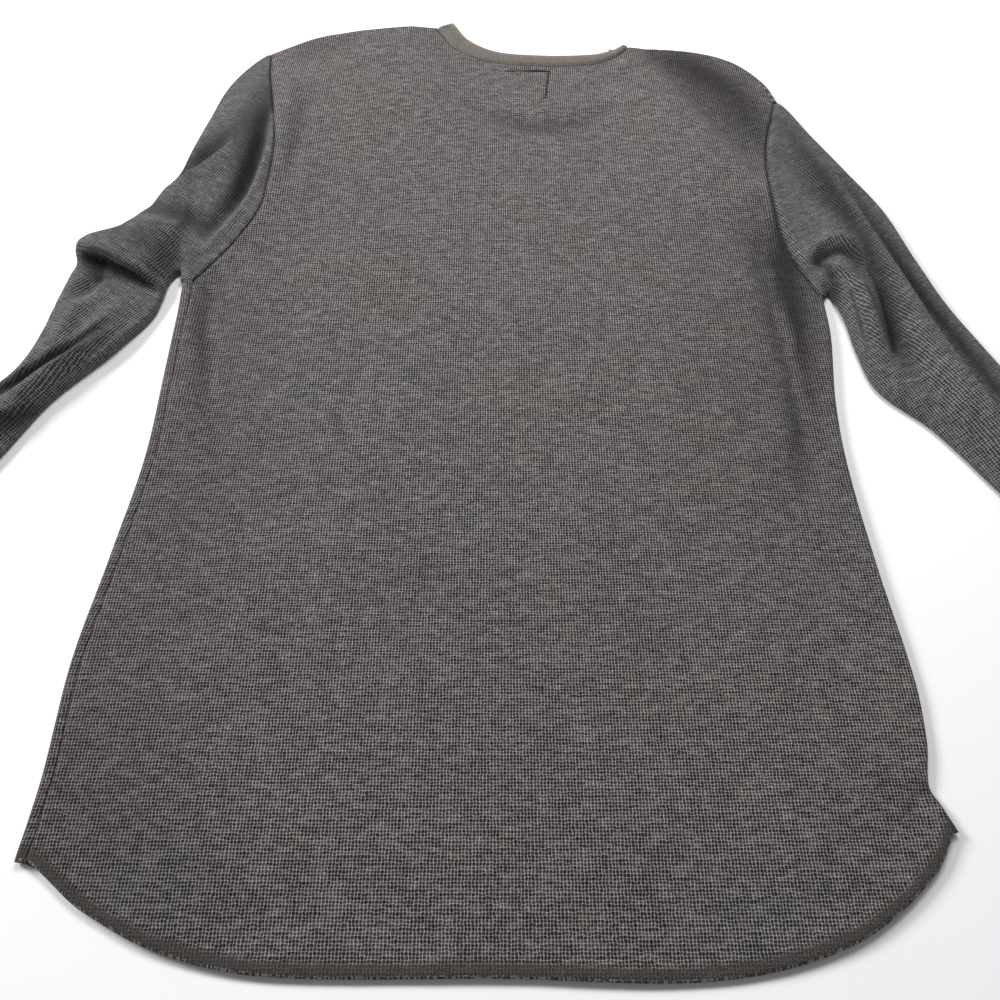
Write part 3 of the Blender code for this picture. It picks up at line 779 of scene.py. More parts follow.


# %% [markdown]
# ## Folds and creases
#
# Each fold is a soft ridge or trough along a drawn line, with its own height at every knot and
# its own width on either side. A narrow side gives the sharp edge of cloth lying over cloth.
# The lines run over seams, so both pieces rise and fall together there. Seams are grooves that
# follow the edges of the pieces themselves. Deep in a fold and beside a seam little light gets
# in, so further lines of the same form give the share of painted shade there. The waffle's
# finish reads that share from a vertex attribute and paints it into the yarn's colour as shade.

# %% Folds
# Each fold: its name, its widths on the line's left and right, and x, y and height at each knot
SLEEVE_FOLDS = (
    # the left sleeve, from the armhole down
    ("left_seam_roll", 3.2, 3.6,
     ((-216, 770, 0.3), (-209, 735, 1.4), (-208, 700, 2.0), (-211, 665, 2.3), (-217, 634, 2.2),
      (-232, 602, 1.8), (-248, 578, 1.2), (-262, 560, 0.6))),
    ("left_seam_trough", 4.5, 8.0,
     ((-214, 765, 0), (-214, 738, -4.5), (-215, 705, -8.5), (-219, 668, -9.5), (-226, 636, -7.5),
      (-240, 606, -3.5), (-254, 582, 0))),
    ("left_cap_roll", 15, 12,
     ((-236, 800, 0), (-236, 760, 2.0), (-240, 720, 3.0), (-247, 680, 2.2), (-256, 645, 0))),
    ("left_behind_shadow", 9, 4,
     ((-292, 648, 0), (-280, 670, -4.5), (-266, 688, -6.0), (-250, 702, -4.0), (-238, 716, 0))),
    ("left_over_layer", 4, 14,
     ((-290, 636, 0), (-278, 657, 2.8), (-264, 672, 4.0), (-250, 690, 2.6), (-240, 704, 0))),
    ("left_mid_valley", 9, 8,
     ((-303, 630, -2.0), (-281, 622, -4.0), (-264, 614, -4.6), (-250, 604, -3.0), (-240, 598, 0))),
    ("left_mid_ridge", 6, 12,
     ((-306, 603, 1.5), (-285, 598, 3.2), (-272, 595, 3.4), (-261, 587, 2.6), (-252, 574, 0.8),
      (-249, 562, 0))),
    ("left_fold_dip", 10, 9,
     ((-322, 588, 0), (-303, 575, -1.6), (-287, 565, -2.4), (-274, 556, -2.0), (-266, 548, 0))),
    ("left_rope_groove", 1.7, 2.2,
     ((-346, 579, 0), (-336, 579, -1.4), (-324, 574, -2.3), (-303, 561, -2.6), (-286, 553, -2.3),
      (-275, 549, -1.4), (-268, 547, 0))),
    # the forearm under the fold
    ("left_elbow_bulge", 8, 6,
     ((-343, 556, 0), (-344, 540, 3.2), (-347, 524, 4.0), (-350, 506, 2.5), (-354, 492, 0))),
    ("left_hollow", 5, 9,
     ((-326, 560, -1.5), (-328, 543, -4.0), (-335, 527, -3.2), (-345, 516, 0))),
    ("left_step_ridge", 5, 12,
     ((-350, 495, 0), (-340, 506, 2.0), (-327, 517, 2.6), (-321, 532, 2.0), (-318, 548, 0))),
    ("left_forearm_roll", 11, 14,
     ((-300, 522, 0), (-308, 500, 2.6), (-319, 479, 3.4), (-333, 459, 3.2), (-352, 442, 2.4),
      (-376, 426, 1.4), (-402, 404, 0))),
    ("left_long_trough", 3.2, 6,
     ((-398, 412, 0), (-377, 427, -3.4), (-352, 447, -5.0), (-326, 472, -5.0), (-311, 489, -3.5),
      (-302, 507, 0))),
    ("left_under_roll", 5, 9,
     ((-420, 352, 0), (-392, 378, 1.8), (-362, 402, 3.2), (-338, 424, 3.8), (-315, 452, 3.6),
      (-295, 482, 2.6), (-279, 511, 0))),
    ("left_lower_step", 3.0, 7,
     ((-384, 378, 0), (-364, 396, -2.0), (-343, 417, -3.2), (-327, 439, -2.6), (-314, 458, 0))),
    ("left_wrist_fold", 9, 13,
     ((-404, 398, 0), (-432, 366, 1.6), (-458, 330, 2.2), (-478, 296, 1.6), (-488, 272, 0))),
    ("left_wrist_dip", 10, 7,
     ((-420, 352, 0), (-438, 328, -1.6), (-454, 300, -1.9), (-462, 280, -1.0), (-468, 262, 0))),
    # the right sleeve
    ("right_seam_roll", 3.4, 2.8,
     ((264, 760, 0.2), (256, 735, 0.6), (245, 705, 1.2), (241, 665, 1.6), (240, 627, 1.7),
      (248, 582, 1.4), (258, 552, 0.9), (264, 538, 0))),
    ("right_outer_ridge", 2.6, 19,
     ((290, 694, 0), (295, 669, 5.0), (303, 629, 7.6), (312, 587, 9.0), (323, 535, 10.0),
      (333, 488, 9.6), (345, 445, 8.8), (360, 399, 7.6), (387, 347, 5.4), (420, 300, 2.6),
      (444, 262, 0))),
    ("right_outer_layer", 8, 3.0,
     ((300, 688, 0), (304, 662, -1.6), (313, 622, -2.6), (322, 580, -3.0), (333, 530, -3.0),
      (343, 484, -2.8), (355, 442, -2.4), (370, 396, -2.0), (398, 344, -1.2), (428, 300, 0))),
    ("right_mid_trough", 8, 9,
     ((250, 712, 0), (258, 692, -2.6), (268, 671, -3.8), (282, 634, -4.2), (298, 606, -4.4),
      (306, 574, -5.4), (309, 540, -6.2), (310, 500, -6.2), (312, 462, -5.0), (326, 424, -1.8),
      (340, 400, 0))),
    ("right_cap_facet", 10, 12,
     ((268, 745, 0), (272, 712, 1.8), (280, 682, 2.2), (290, 655, 0))),
    ("right_crescent", 7, 4,
     ((251, 556, 0), (256, 568, 2.6), (267, 583, 4.0), (281, 586, 4.4), (292, 578, 4.0),
      (297, 560, 2.4), (297, 540, 0))),
    ("right_crescent_shade", 3.5, 5,
     ((259, 558, 0), (268, 569, -3.5), (281, 573, -4.5), (290, 564, -4.0), (291, 548, -1.5),
      (290, 535, 0))),
    ("right_lit_roll", 3.4, 7,
     ((260, 546, 0), (268, 554, 1.6), (277, 555, 3.0), (288, 534, 4.0), (292, 509, 4.2),
      (295, 486, 3.6), (297, 466, 2.2), (297, 452, 0))),
    ("right_roll_edge", 3.4, 3.0,
     ((298, 556, 0), (303, 530, -3.2), (304, 500, -4.2), (303, 474, -3.4), (301, 456, 0))),
    ("right_inner_valley", 3.2, 3.0,
     ((268, 549, 0), (281, 541, -2.2), (285, 515, -2.6), (286, 490, -2.2), (287, 468, 0))),
    ("right_inner_roll", 3, 5,
     ((254, 542, 0), (264, 544, 1.6), (275, 535, 2.6), (279, 515, 2.8), (280, 488, 2.0),
      (284, 462, 0))),
    ("right_armpit_hole", 4, 4.5,
     ((263, 545, 0), (268, 536, -4.0), (270, 525, -2.5), (272, 515, 0))),
    ("right_forearm_roll", 13, 12,
     ((318, 452, 0), (334, 420, 1.8), (354, 388, 2.6), (380, 350, 2.4), (410, 306, 1.6),
      (438, 262, 0))),
    ("right_forearm_dip", 8, 12,
     ((330, 398, 0), (352, 370, -1.4), (376, 340, -2.0), (400, 308, -1.6), (420, 276, 0))),
)
BODY_FOLDS = (
    ("left_yoke_crease", 7, 5,
     ((-166, 790, 0), (-179, 764, -1.7), (-182, 710, -2.2), (-187, 670, -1.6), (-192, 646, 0))),
    ("left_yoke_swell", 13, 10,
     ((-186, 800, 0), (-196, 765, 2.2), (-197, 715, 2.0), (-196, 668, 1.0), (-204, 630, 0))),
    ("left_yoke_hollow", 24, 20,
     ((-218, 842, 0), (-190, 850, -3.2), (-160, 866, -3.4), (-132, 884, 0))),
    ("left_side_hollow", 15, 13,
     ((-248, 566, 0), (-238, 538, -3.0), (-227, 494, -4.2), (-219, 453, -4.0), (-214, 410, -2.2),
      (-212, 362, 0))),
    ("left_side_roll", 10, 12,
     ((-252, 540, 0), (-250, 500, 1.2), (-246, 450, 1.5), (-244, 400, 0.9), (-248, 350, 0))),
    ("right_side_hollow", 20, 11,
     ((204, 640, 0), (214, 595, -3.2), (221, 536, -5.4), (225, 484, -5.4), (226, 424, -4.2),
      (222, 379, -2.8), (214, 326, 0))),
    ("right_side_roll", 11, 12,
     ((248, 560, 0), (243, 520, 1.4), (241, 470, 1.8), (241, 420, 1.4), (238, 370, 0))),
    ("right_armhole_hollow", 15, 12,
     ((232, 668, 0), (226, 630, -2.0), (222, 596, -2.8), (226, 562, -1.8), (232, 536, 0))),
    ("right_shoulder_band", 24, 13,
     ((150, 868, -3.0), (170, 830, -6.8), (192, 785, -8.2), (211, 738, -7.4), (229, 692, -4.6),
      (242, 650, 0))),
    ("right_shoulder_swell", 14, 24,
     ((118, 824, 0), (140, 790, 2.0), (162, 748, 2.2), (180, 706, 1.2), (190, 668, 0))),
    ("below_neck_trough", 11, 13,
     ((-58, 800, 0), (-28, 777, -1.8), (4, 756, -3.0), (42, 743, -3.6), (68, 747, -3.0),
      (96, 766, -1.8), (120, 788, 0))),
    ("neck_left_swell", 16, 12,
     ((-108, 872, 0), (-72, 838, 1.6), (-40, 806, 1.8), (-14, 786, 0))),
    ("neck_right_swell", 9, 12,
     ((62, 818, 0), (88, 816, 1.8), (112, 830, 2.2), (132, 848, 1.4), (148, 862, 0))),
    ("seat_sweep", 40, 34,
     ((-160, 300, 0), (-60, 262, -0.9), (60, 246, -1.1), (150, 226, 0))),
    ("rib_sweep", 46, 40,
     ((-120, 560, 0), (-20, 520, 0.9), (80, 500, 1.2), (160, 470, 0))),
    ("hem_left_lift", 24, 18,
     ((-238, 214, 0), (-206, 160, 1.0), (-176, 112, 1.4), (-150, 76, 0.6), (-140, 56, 0))),
    ("hem_right_lift", 20, 26,
     ((246, 196, 0), (214, 166, 1.1), (178, 126, 1.4), (150, 88, 0.7), (136, 60, 0))),
    ("corner_flap", 5, 6,
     ((262, 146, 0), (250, 138, -1.6), (240, 128, -1.8), (236, 112, 0))),
)
LABEL_FOLDS = (
    ("label_top", 1.5, 1.5,
     ((0, 831, 0), (7, 832.4, -1.1), (20, 833.2, -1.5), (36, 832.2, -1.5), (48, 830.7, -1.0),
      (52, 829, 0))),
    ("label_side", 1.4, 1.4,
     ((48.4, 831, 0), (48, 822, -1.1), (46.6, 809, -1.2), (44.2, 792, -0.8), (42, 778, 0))),
    ("label_foot", 2.8, 2.4,
     ((47.4, 789, 0), (41, 772, 1.0), (28, 765.6, 1.2), (14, 768.6, 1.0), (3, 776, 0.9),
      (-4, 790, 0))),
    ("label_above", 3, 2.6,
     ((52, 828, 0), (62, 818, 0.7), (74, 806, 0.8), (84, 790, 0))),
)
# Painted shade where little light gets in. Each line: its name, widths, and x, y and the share
# of painted shade at each knot
SLEEVE_HOLLOWS = (
    ("left_cap", 15, 17,
     ((-280, 664, 0.30), (-265, 696, 0.55), (-252, 714, 0.66), (-241, 732, 0.52), (-230, 771, 0.36),
      (-224, 806, 0.20), (-222, 830, 0.05))),
    ("left_arm_trough", 6, 11,
     ((-220, 812, 0.20), (-216, 777, 0.45), (-218, 743, 0.66), (-223, 700, 0.78), (-228, 655, 0.74),
      (-236, 626, 0.50), (-247, 602, 0.20))),
    ("left_mid_valley", 13, 10,
     ((-308, 622, 0.40), (-286, 616, 0.55), (-268, 611, 0.55), (-253, 604, 0.36),
      (-242, 600, 0.1))),
    ("left_fold_face", 14, 12,
     ((-338, 592, 0.20), (-312, 588, 0.32), (-288, 578, 0.40), (-272, 566, 0.36),
      (-262, 556, 0.1))),
    ("left_rope_line", 2.6, 4.2,
     ((-352, 566, 0.30), (-338, 564, 0.66), (-322, 558, 0.80), (-304, 549, 0.78), (-285, 541, 0.66),
      (-270, 536, 0.30))),
    ("left_under_fold", 7, 6,
     ((-350, 560, 0.15), (-337, 554, 0.45), (-325, 546, 0.70), (-318, 540, 0.40), (-312, 530, 0))),
    ("left_long_trough", 4, 8,
     ((-372, 430, 0.60), (-360, 440, 0.78), (-344, 456, 0.82), (-328, 470, 0.78), (-316, 486, 0.55),
      (-309, 503, 0.05))),
    ("left_low_trough", 7, 8,
     ((-398, 370, 0.50), (-368, 394, 0.72), (-350, 408, 0.70), (-330, 424, 0.30), (-318, 440, 0))),
    ("right_cap", 10, 13,
     ((262, 745, 0.40), (271, 708, 0.58), (279, 684, 0.68), (287, 651, 0.76), (293, 622, 0.76),
      (299, 594, 0.74), (305, 560, 0.68), (307, 519, 0.66), (305, 480, 0.68), (308, 448, 0.10))),
    ("right_armpit", 4.5, 4.5,
     ((261, 566, 0.35), (268, 560, 0.60), (271, 545, 0.72), (271, 530, 0.60), (271, 518, 0.20))),
    ("right_crescent", 5, 5,
     ((260, 563, 0.45), (268, 573, 0.60), (281, 576, 0.62), (290, 566, 0.52), (293, 548, 0.30),
      (291, 530, 0))),
    ("right_lower_layer", 9, 4,
     ((306, 678, 0.20), (319, 622, 0.42), (329, 577, 0.62), (339, 533, 0.72), (351, 494, 0.76),
      (363, 456, 0.74), (374, 420, 0.66), (392, 370, 0.40), (420, 318, 0))),
)
BODY_HOLLOWS = (
    ("left_body_stripe", 9, 9,
     ((-252, 550, 0.10), (-241, 532, 0.26), (-236, 496, 0.28), (-226, 460, 0.22), (-217, 430, 0.10),
      (-214, 396, 0))),
    ("left_yoke", 8, 6,
     ((-197, 800, 0.12), (-192, 760, 0.20), (-191, 710, 0.18), (-198, 672, 0))),
    ("right_shoulder", 21, 19,
     ((150, 872, 0.30), (182, 848, 0.62), (206, 820, 0.74), (225, 787, 0.72), (237, 746, 0.60),
      (245, 708, 0.36), (247, 676, 0.10))),
    ("right_body_edge", 18, 14,
     ((240, 630, 0.20), (238, 588, 0.62), (236, 540, 0.70), (233, 492, 0.66), (231, 456, 0.48),
      (227, 418, 0.26), (222, 376, 0.05))),
    ("right_seam", 4, 3,
     ((246, 700, 0.15), (239, 667, 0.30), (236, 621, 0.42), (240, 584, 0.65), (249, 562, 0.75),
      (257, 548, 0.50))),
    ("left_hem", 60, 70,
     ((-262, 300, 0.05), (-250, 210, 0.20), (-235, 130, 0.26), (-200, 80, 0.20), (-150, 50, 0.05))),
    ("right_flap", 5, 4, ((256, 128, 0.1), (250, 136, 0.35), (243, 141, 0.2), (236, 146, 0))),
    ("right_body_crease", 5, 8,
     ((222, 436, 0.05), (219, 400, 0.26), (213, 360, 0.22), (205, 322, 0))),
    ("below_neck", 11, 9,
     ((-30, 778, 0), (0, 758, 0.12), (42, 743, 0.20), (68, 748, 0.14), (98, 768, 0))),
    ("left_side", 55, 60,
     ((-236, 600, 0.08), (-226, 520, 0.18), (-220, 400, 0.18), (-226, 300, 0.12), (-236, 220, 0))),
    ("right_side", 55, 60,
     ((206, 620, 0.06), (206, 520, 0.16), (204, 420, 0.15), (208, 300, 0.08), (214, 220, 0))),
)
# The share of painted shade for each millimetre a fold presses down and for each that a seam's
# groove is deeper than a side seam's, the most shade painted, and the heights over which it sets in
SHADE_PER_MM = 0.045
SEAM_SHADE = 0.9
SHALLOW_SEAM = 0.5
MOST_SHADE = 0.88
SHADE_FROM, SHADE_OVER = 2.5, 2.5
# On the hidden side the front lifts off the table along a few longer, lower waves
FRONT_FOLDS = (
    ("front_neck_wave", 15, 12, ((-40, 770, 0), (0, 735, 1.6), (60, 720, 1.9), (110, 745, 0))),
    ("front_left_wave", 18, 13,
     ((-190, 740, 0), (-170, 660, 1.8), (-196, 560, 1.4), (-215, 470, 0))),
    ("front_right_wave", 13, 19, ((196, 700, 0), (172, 620, 1.9), (190, 540, 2.0), (206, 430, 0))),
    ("front_waist_wave", 22, 17, ((-130, 420, 0), (-40, 396, 1.5), (70, 412, 1.9), (150, 380, 0))),
    ("front_seat_wave", 17, 21, ((120, 250, 0), (40, 226, 1.4), (-60, 238, 1.7), (-150, 200, 0))),
    ("front_hem_wave", 12, 14, ((-96, 150, 0), (-84, 116, 1.1), (-92, 92, 0.8), (-100, 78, 0))),
)
print(len(SLEEVE_FOLDS) + len(BODY_FOLDS) + len(LABEL_FOLDS), "folds above,",
      len(FRONT_FOLDS), "below")


# %% Pressing the folds in
# The hem: how deep the turned band is and how much it rises, the dip of its stitched line, and
# how its very edge rounds off; each with the width it takes
HEM_DEPTH = 8.5
HEM_RISE, HEM_STEP = 0.55, 1.6
HEM_DIP, DIP_WIDTH, DIP_BEYOND = 0.5, 1.1, 0.8
EDGE_ROUNDING, ROUNDING_WIDTH = 1.1, 1.2
SPINE_POINTS = 40
FOLD_REACH, GROOVE_REACH = 3, 4
LEAST_LOFT = 3.3
TOP_LOFT = 0.98
# A seam's groove: its depth and its width
ARMHOLE_GROOVE = (1.1, 1.5)
SIDE_GROOVE = (0.5, 1.3)
NECK_GROOVE = (1.1, 1.6)


def arc(net, axis):
    """The distance run along a net's rows or columns, starting at 0."""
    steps = np.linalg.norm(np.diff(net, axis=axis), axis=2)
    zero = np.zeros((net.shape[0], 1) if axis == 1 else (1, net.shape[1]))
    return np.concatenate([zero, np.cumsum(steps, axis=axis)], axis=axis)


def plain_map(net):
    return net[:, :, :2].copy()


def hem_distance(net):
    """How far each point of a panel is from its hem, and how far along the hem it lies."""
    along = np.repeat(arc(net[:1], 1), net.shape[0], axis=0)
    return np.stack([arc(net, 0), along], axis=2)


def hem_roll(net):
    """The turned hem: a slightly thicker band with a stitched dip above it and a soft edge."""
    away = hem_distance(net)[:, :, 0]
    rolled = HEM_RISE * (1 - eased((away - HEM_DEPTH) / HEM_STEP))
    rolled -= HEM_DIP * np.exp(-(((away - HEM_DEPTH - DIP_BEYOND) / DIP_WIDTH) ** 2))
    rolled -= EDGE_ROUNDING * np.exp(-((away / ROUNDING_WIDTH) ** 2))
    lifted = net.copy()
    lifted[:, :, 2] += rolled
    return lifted


def line_offsets(plan, spine):
    """For each point, the nearest place on a line, the distance to it and the side it is on."""
    step = plan[:, None, :] - spine[None, :, :]
    nearest = np.argmin((step**2).sum(axis=2), axis=1)
    along = np.gradient(spine, axis=0)[nearest]
    here = step[np.arange(len(plan)), nearest]
    along_length = np.linalg.norm(along, axis=1)
    square = (along[:, 0] * here[:, 1] - along[:, 1] * here[:, 0]) / along_length
    straight = (along * here).sum(axis=1) / along_length
    ends = (nearest == 0) | (nearest == len(spine) - 1)
    distance = np.where(ends, np.hypot(square, straight), np.abs(square))
    return nearest, distance, square > 0


def points_near(plan, line, reach):
    """The indices of the plan points that lie in a line's box, widened by its reach."""
    low, high = line.min(axis=0) - reach, line.max(axis=0) + reach
    return np.flatnonzero(((plan > low) & (plan < high)).all(axis=1))


def fold_lift(plan, folds):
    """How far the folds lift or press the cloth at each plan point."""
    lift = np.zeros(len(plan))
    for _, left_width, right_width, knots in folds:
        line = smooth_line(knots, np.linspace(0, 1, SPINE_POINTS))
        near = points_near(plan, line[:, :2], FOLD_REACH * max(left_width, right_width))
        if not len(near):
            continue
        place, distance, on_left = line_offsets(plan[near], line[:, :2])
        width = np.where(on_left, left_width, right_width)
        lift[near] += line[place, 2] * np.exp(-((distance / width) ** 2))
    return lift


def groove(plan, line, depth, width):
    """A seam's groove along a line of plan points."""
    near = points_near(plan, line, GROOVE_REACH * width)
    lift = np.zeros(len(plan))
    _, distance, _ = line_offsets(plan[near], line)
    lift[near] = -depth * np.exp(-((distance / width) ** 2))
    return lift


def slack(plan):
    """The slight unevenness of cloth that was smoothed out by hand."""
    x, y = plan[:, 0], plan[:, 1]
    lift = 0.34 * np.sin(x / 31 + 1.3 * np.sin(y / 57)) * np.sin(y / 43 + 0.8)
    lift += 0.22 * np.sin(x / 17.3 + y / 29.1 + 2.1) * np.sin(y / 23.7 - x / 61 + 0.4)
    return lift + 0.10 * np.sin(x / 8.7 - y / 13.3) * np.sin(y / 9.9 + x / 21.7 + 1.9)


above_arm = ups >= UNDERARM_HEIGHT - NEARLY
at_neck = ~back["left"] & ~back["right"]
seam_lines = [
    (even_points(line, count)[:, :2], *shape)
    for line, count, shape in (
        (back["face"][above_arm, 0], 160, ARMHOLE_GROOVE),
        (back["face"][above_arm, -1], 160, ARMHOLE_GROOVE),
        (back["face"][back["low_rows"], 0], 200, SIDE_GROOVE),
        (back["face"][-1, at_neck], 120, NECK_GROOVE),
    )
]


def press(net, loft, folds):
    """Moves a net's points up and down by the folds, the seams and the slack, faded by loft."""
    shape = net.shape
    points = net.reshape(-1, 3).copy()
    loft = np.broadcast_to(loft, shape[:2]).reshape(-1)
    plan = points[:, :2]
    lift = fold_lift(plan, folds) + slack(plan)
    for line, depth, width in seam_lines:
        lift += groove(plan, line, depth, width)
    points[:, 2] += lift * loft
    low = np.where(loft > TOP_LOFT, LEAST_LOFT, 0.0)
    points[:, 2] = np.maximum(points[:, 2], low)
    return points.reshape(shape)


def turning_loft(extra):
    """How much of a fold's lift is left round a half turn, from 1 on top to 0 on the table."""
    turning = (1 + np.cos(np.concatenate([[0.0], TURNS]))) / 2
    return np.concatenate([turning, np.zeros(extra)])


def ring_loft(top, turn, under):
    """The same round a ring that lies flat: its top, a turn, its underside and a turn back."""
    turning = (1 + np.cos(np.linspace(0, math.pi, turn + 1)[1:-1])) / 2
    return np.concatenate([np.ones(top + 1), turning, np.zeros(under + 1), turning[::-1]])


upper_folds = SLEEVE_FOLDS + BODY_FOLDS + LABEL_FOLDS
round_loft = turning_loft(1)
back["face"] = press(hem_roll(back["face"]), 1.0, upper_folds)
back["right_fold"] = press(back["right_fold"], round_loft[None, :], upper_folds)
back["shoulders"] = [press(s, round_loft[:, None], upper_folds) for s in back["shoulders"]]
side_loft = np.concatenate([np.ones(3), turning_loft(0)])
front["left_fold"] = press(front["left_fold"], side_loft[None, :], upper_folds)
front_lift = fold_lift(front["face"].reshape(-1, 3)[:, :2], FRONT_FOLDS)
front["face"][:, :, 2] += front_lift.reshape(front["face"].shape[:2])
sleeve_loft = ring_loft(SLEEVE_TOP, SLEEVE_TURN, SLEEVE_UNDER)[None, :]
sleeves = {name: press(net, sleeve_loft, upper_folds) for name, net in sleeves.items()}
band_loft = ring_loft(NECK_BACK_POINTS, NECK_TURN, NECK_FRONT_POINTS)[None, :]
neckband = press(neckband, band_loft, upper_folds)
print("back lies between", round(float(back["face"][:, :, 2].min()), 1), "and",
      round(float(back["face"][:, :, 2].max()), 1), "mm")


# %% [markdown]
# ## Sewing the nets into pieces
#
# A net becomes a sheet of quads with a map of the knit on it, in metres: one unit of the map is
# one metre of cloth, so the waffle keeps its size on every piece. Solidify then gives the sheet
# its wall, inwards, and the wall is applied.


# %% Sheets from nets
JOIN_DISTANCE = 2e-5
NO_LENGTH = 1e-6


def sheet_mesh(name, parts, wall, material, flip=False):
    """Joins parts into a piece. A part is a net, its knit and hem maps and whether it closes."""
    build = bmesh.new()
    knit_map = build.loops.layers.uv.new("knit")
    hem_map = build.loops.layers.uv.new("hem")
    for net, mapping, edging, closes in parts:
        rows, columns = net.shape[:2]
        place = (net - MIDDLE) * MM
        verts = [[build.verts.new(place[i, j]) for j in range(columns)] for i in range(rows)]
        for i in range(rows - 1):
            for j in range(columns if closes else columns - 1):
                k = (j + 1) % columns
                corners = [(i, j), (i, k), (i + 1, k), (i + 1, j)]
                if flip:
                    corners.reverse()
                face = build.faces.new([verts[a][b] for a, b in corners])
                face.smooth = True
                for loop, (a, b) in zip(face.loops, corners):
                    b_map = columns if closes and b == 0 and j == columns - 1 else b
                    loop[knit_map].uv = mapping[a, b_map] * MM
                    loop[hem_map].uv = edging[a, b_map] * MM
    bmesh.ops.remove_doubles(build, verts=build.verts, dist=JOIN_DISTANCE)
    bmesh.ops.dissolve_degenerate(build, edges=build.edges, dist=NO_LENGTH)
    mesh = bpy.data.meshes.new(name)
    build.to_mesh(mesh)
    build.free()
    mesh.materials.append(material)
    piece = bpy.data.objects.new(name, mesh)
    bpy.context.scene.collection.objects.link(piece)
    give_wall(piece, wall)
    shade_hollows(piece, upper_folds)
    return piece


def give_wall(piece, wall):
    bpy.ops.object.select_all(action="DESELECT")
    bpy.context.view_layer.objects.active = piece
    piece.select_set(True)
    modifier = piece.modifiers.new("wall", "SOLIDIFY")
    modifier.thickness = wall * MM
    modifier.offset = -1.0
    modifier.use_even_offset = False
    bpy.ops.object.modifier_apply(modifier="wall")
    piece.select_set(False)


def shade_hollows(piece, folds):
    """Lifts stray points to the table, then stores painted shade where folds and hollows keep light
    out.
    """
    mesh = piece.data
    points = np.empty(len(mesh.vertices) * 3)
    mesh.vertices.foreach_get("co", points)
    points = points.reshape(-1, 3)
    points[:, 2] = np.maximum(points[:, 2], 0)
    mesh.vertices.foreach_set("co", points.reshape(-1))
    points = points / MM + MIDDLE
    plan = points[:, :2]
    hollows = SLEEVE_HOLLOWS if piece.name.startswith("sleeve") else BODY_HOLLOWS
    shade = fold_lift(plan, hollows) - SHADE_PER_MM * np.minimum(fold_lift(plan, folds), 0)
    for line, depth, width in seam_lines:
        shade -= groove(plan, line, SEAM_SHADE * max(depth - SHALLOW_SEAM, 0), width)
    shade = np.clip(shade, 0, MOST_SHADE) * eased((points[:, 2] - SHADE_FROM) / SHADE_OVER)
    mesh.attributes.new("painted_shade", "FLOAT", "POINT").data.foreach_set("value", shade)


def half_area(piece):
    """Half a walled sheet's surface, which is the area of its cloth in square metres."""
    return sum(face.area for face in piece.data.polygons) / 2


def run_on_map(edge_map, net, axis, along, sign):
    """Carries a knit map on from an edge by the arc that the cloth has run."""
    mapping = np.repeat(np.expand_dims(edge_map, axis), net.shape[axis], axis=axis)
    mapping[:, :, along] += sign * arc(net, axis)
    return mapping


def ring_map(rings):
    """A tube's knit map: round from the middle of its upper layer, along from its mouth."""
    closed = np.concatenate([rings, rings[:, :1]], axis=1)
    around = arc(closed, 1)
    around -= around[:, SLEEVE_TOP // 2][:, None]
    along = arc(closed, 0)
    along -= along[-1][None, :]
    return np.stack([around, along], axis=2)


# The way a sleeve runs in plan, from the shoulder to the mouth
SLEEVE_WAYS = {"left": (-0.48, -0.877), "right": (0.45, -0.893)}


def sleeve_map(rings, way):
    """A sleeve's knit map: square to its run on top, carried round its turned edges by arc."""
    closed = np.concatenate([rings, rings[:, :1]], axis=1)
    around = arc(closed, 1)
    run = np.array(way)
    across = closed[:, :, :2] @ np.array([-run[1], run[0]])
    along = -(closed[:, :, :2] @ run)
    last = SLEEVE_TOP
    half = SLEEVE_TOP + SLEEVE_TURN + SLEEVE_UNDER // 2
    sign = np.sign(across[:, last] - across[:, 0])[:, None]
    beyond = around[:, last + 1:half + 1] - around[:, last:last + 1]
    across[:, last + 1:half + 1] = across[:, last:last + 1] + sign * beyond
    before = around[:, -1:] - around[:, half + 1:]
    across[:, half + 1:] = across[:, :1] - sign * before
    return np.stack([across, along], axis=2)


# %% [markdown]
# ## Knitting the surface with shader nodes
#
# Waffle knit is a grid of small square pits between raised walls, two millimetres apart. At
# arm's length it reads as dark dots between light lines, so colour does most of the work and a
# small bump helps it: the pits are painted dark as their shade, the walls and their crossings
# lighter where the light falls on them. The yarn is a heather: strands of slightly different
# grey run along the rows. Both effects serve several pieces, so each is a node group that reads
# the knit map.


# %% Small helpers for node trees
def put(tree, socket, value):
    """Joins a node's output to a socket, or sets the socket to a plain value."""
    if isinstance(value, bpy.types.NodeSocket):
        tree.links.new(value, socket)
    else:
        socket.default_value = value


def maths(operation):
    """A function that adds one Math node to a tree and gives back its result."""

    def add_node(tree, *values):
        node = tree.nodes.new("ShaderNodeMath")
        node.operation = operation
        for socket, value in zip(node.inputs, values):
            put(tree, socket, value)
        return node.outputs[0]

    return add_node


plus, minus, times, over = map(maths, ("ADD", "SUBTRACT", "MULTIPLY", "DIVIDE"))
larger, above, below = map(maths, ("MAXIMUM", "GREATER_THAN", "LESS_THAN"))
absolute, whole, fraction = map(maths, ("ABSOLUTE", "FLOOR", "FRACT"))


def ramp(tree, value, low, high, out_low=0.0, out_high=1.0):
    node = tree.nodes.new("ShaderNodeMapRange")
    node.interpolation_type = "SMOOTHSTEP"
    for socket, given in zip(node.inputs, (value, low, high, out_low, out_high)):
        put(tree, socket, given)
    return node.outputs[0]


def mixed(tree, factor, first, second, blend="MIX"):
    node = tree.nodes.new("ShaderNodeMix")
    node.data_type = "RGBA"
    node.blend_type = blend
    put(tree, node.inputs["Factor"], factor)
    put(tree, node.inputs[6], first)
    put(tree, node.inputs[7], second)
    return node.outputs[2]


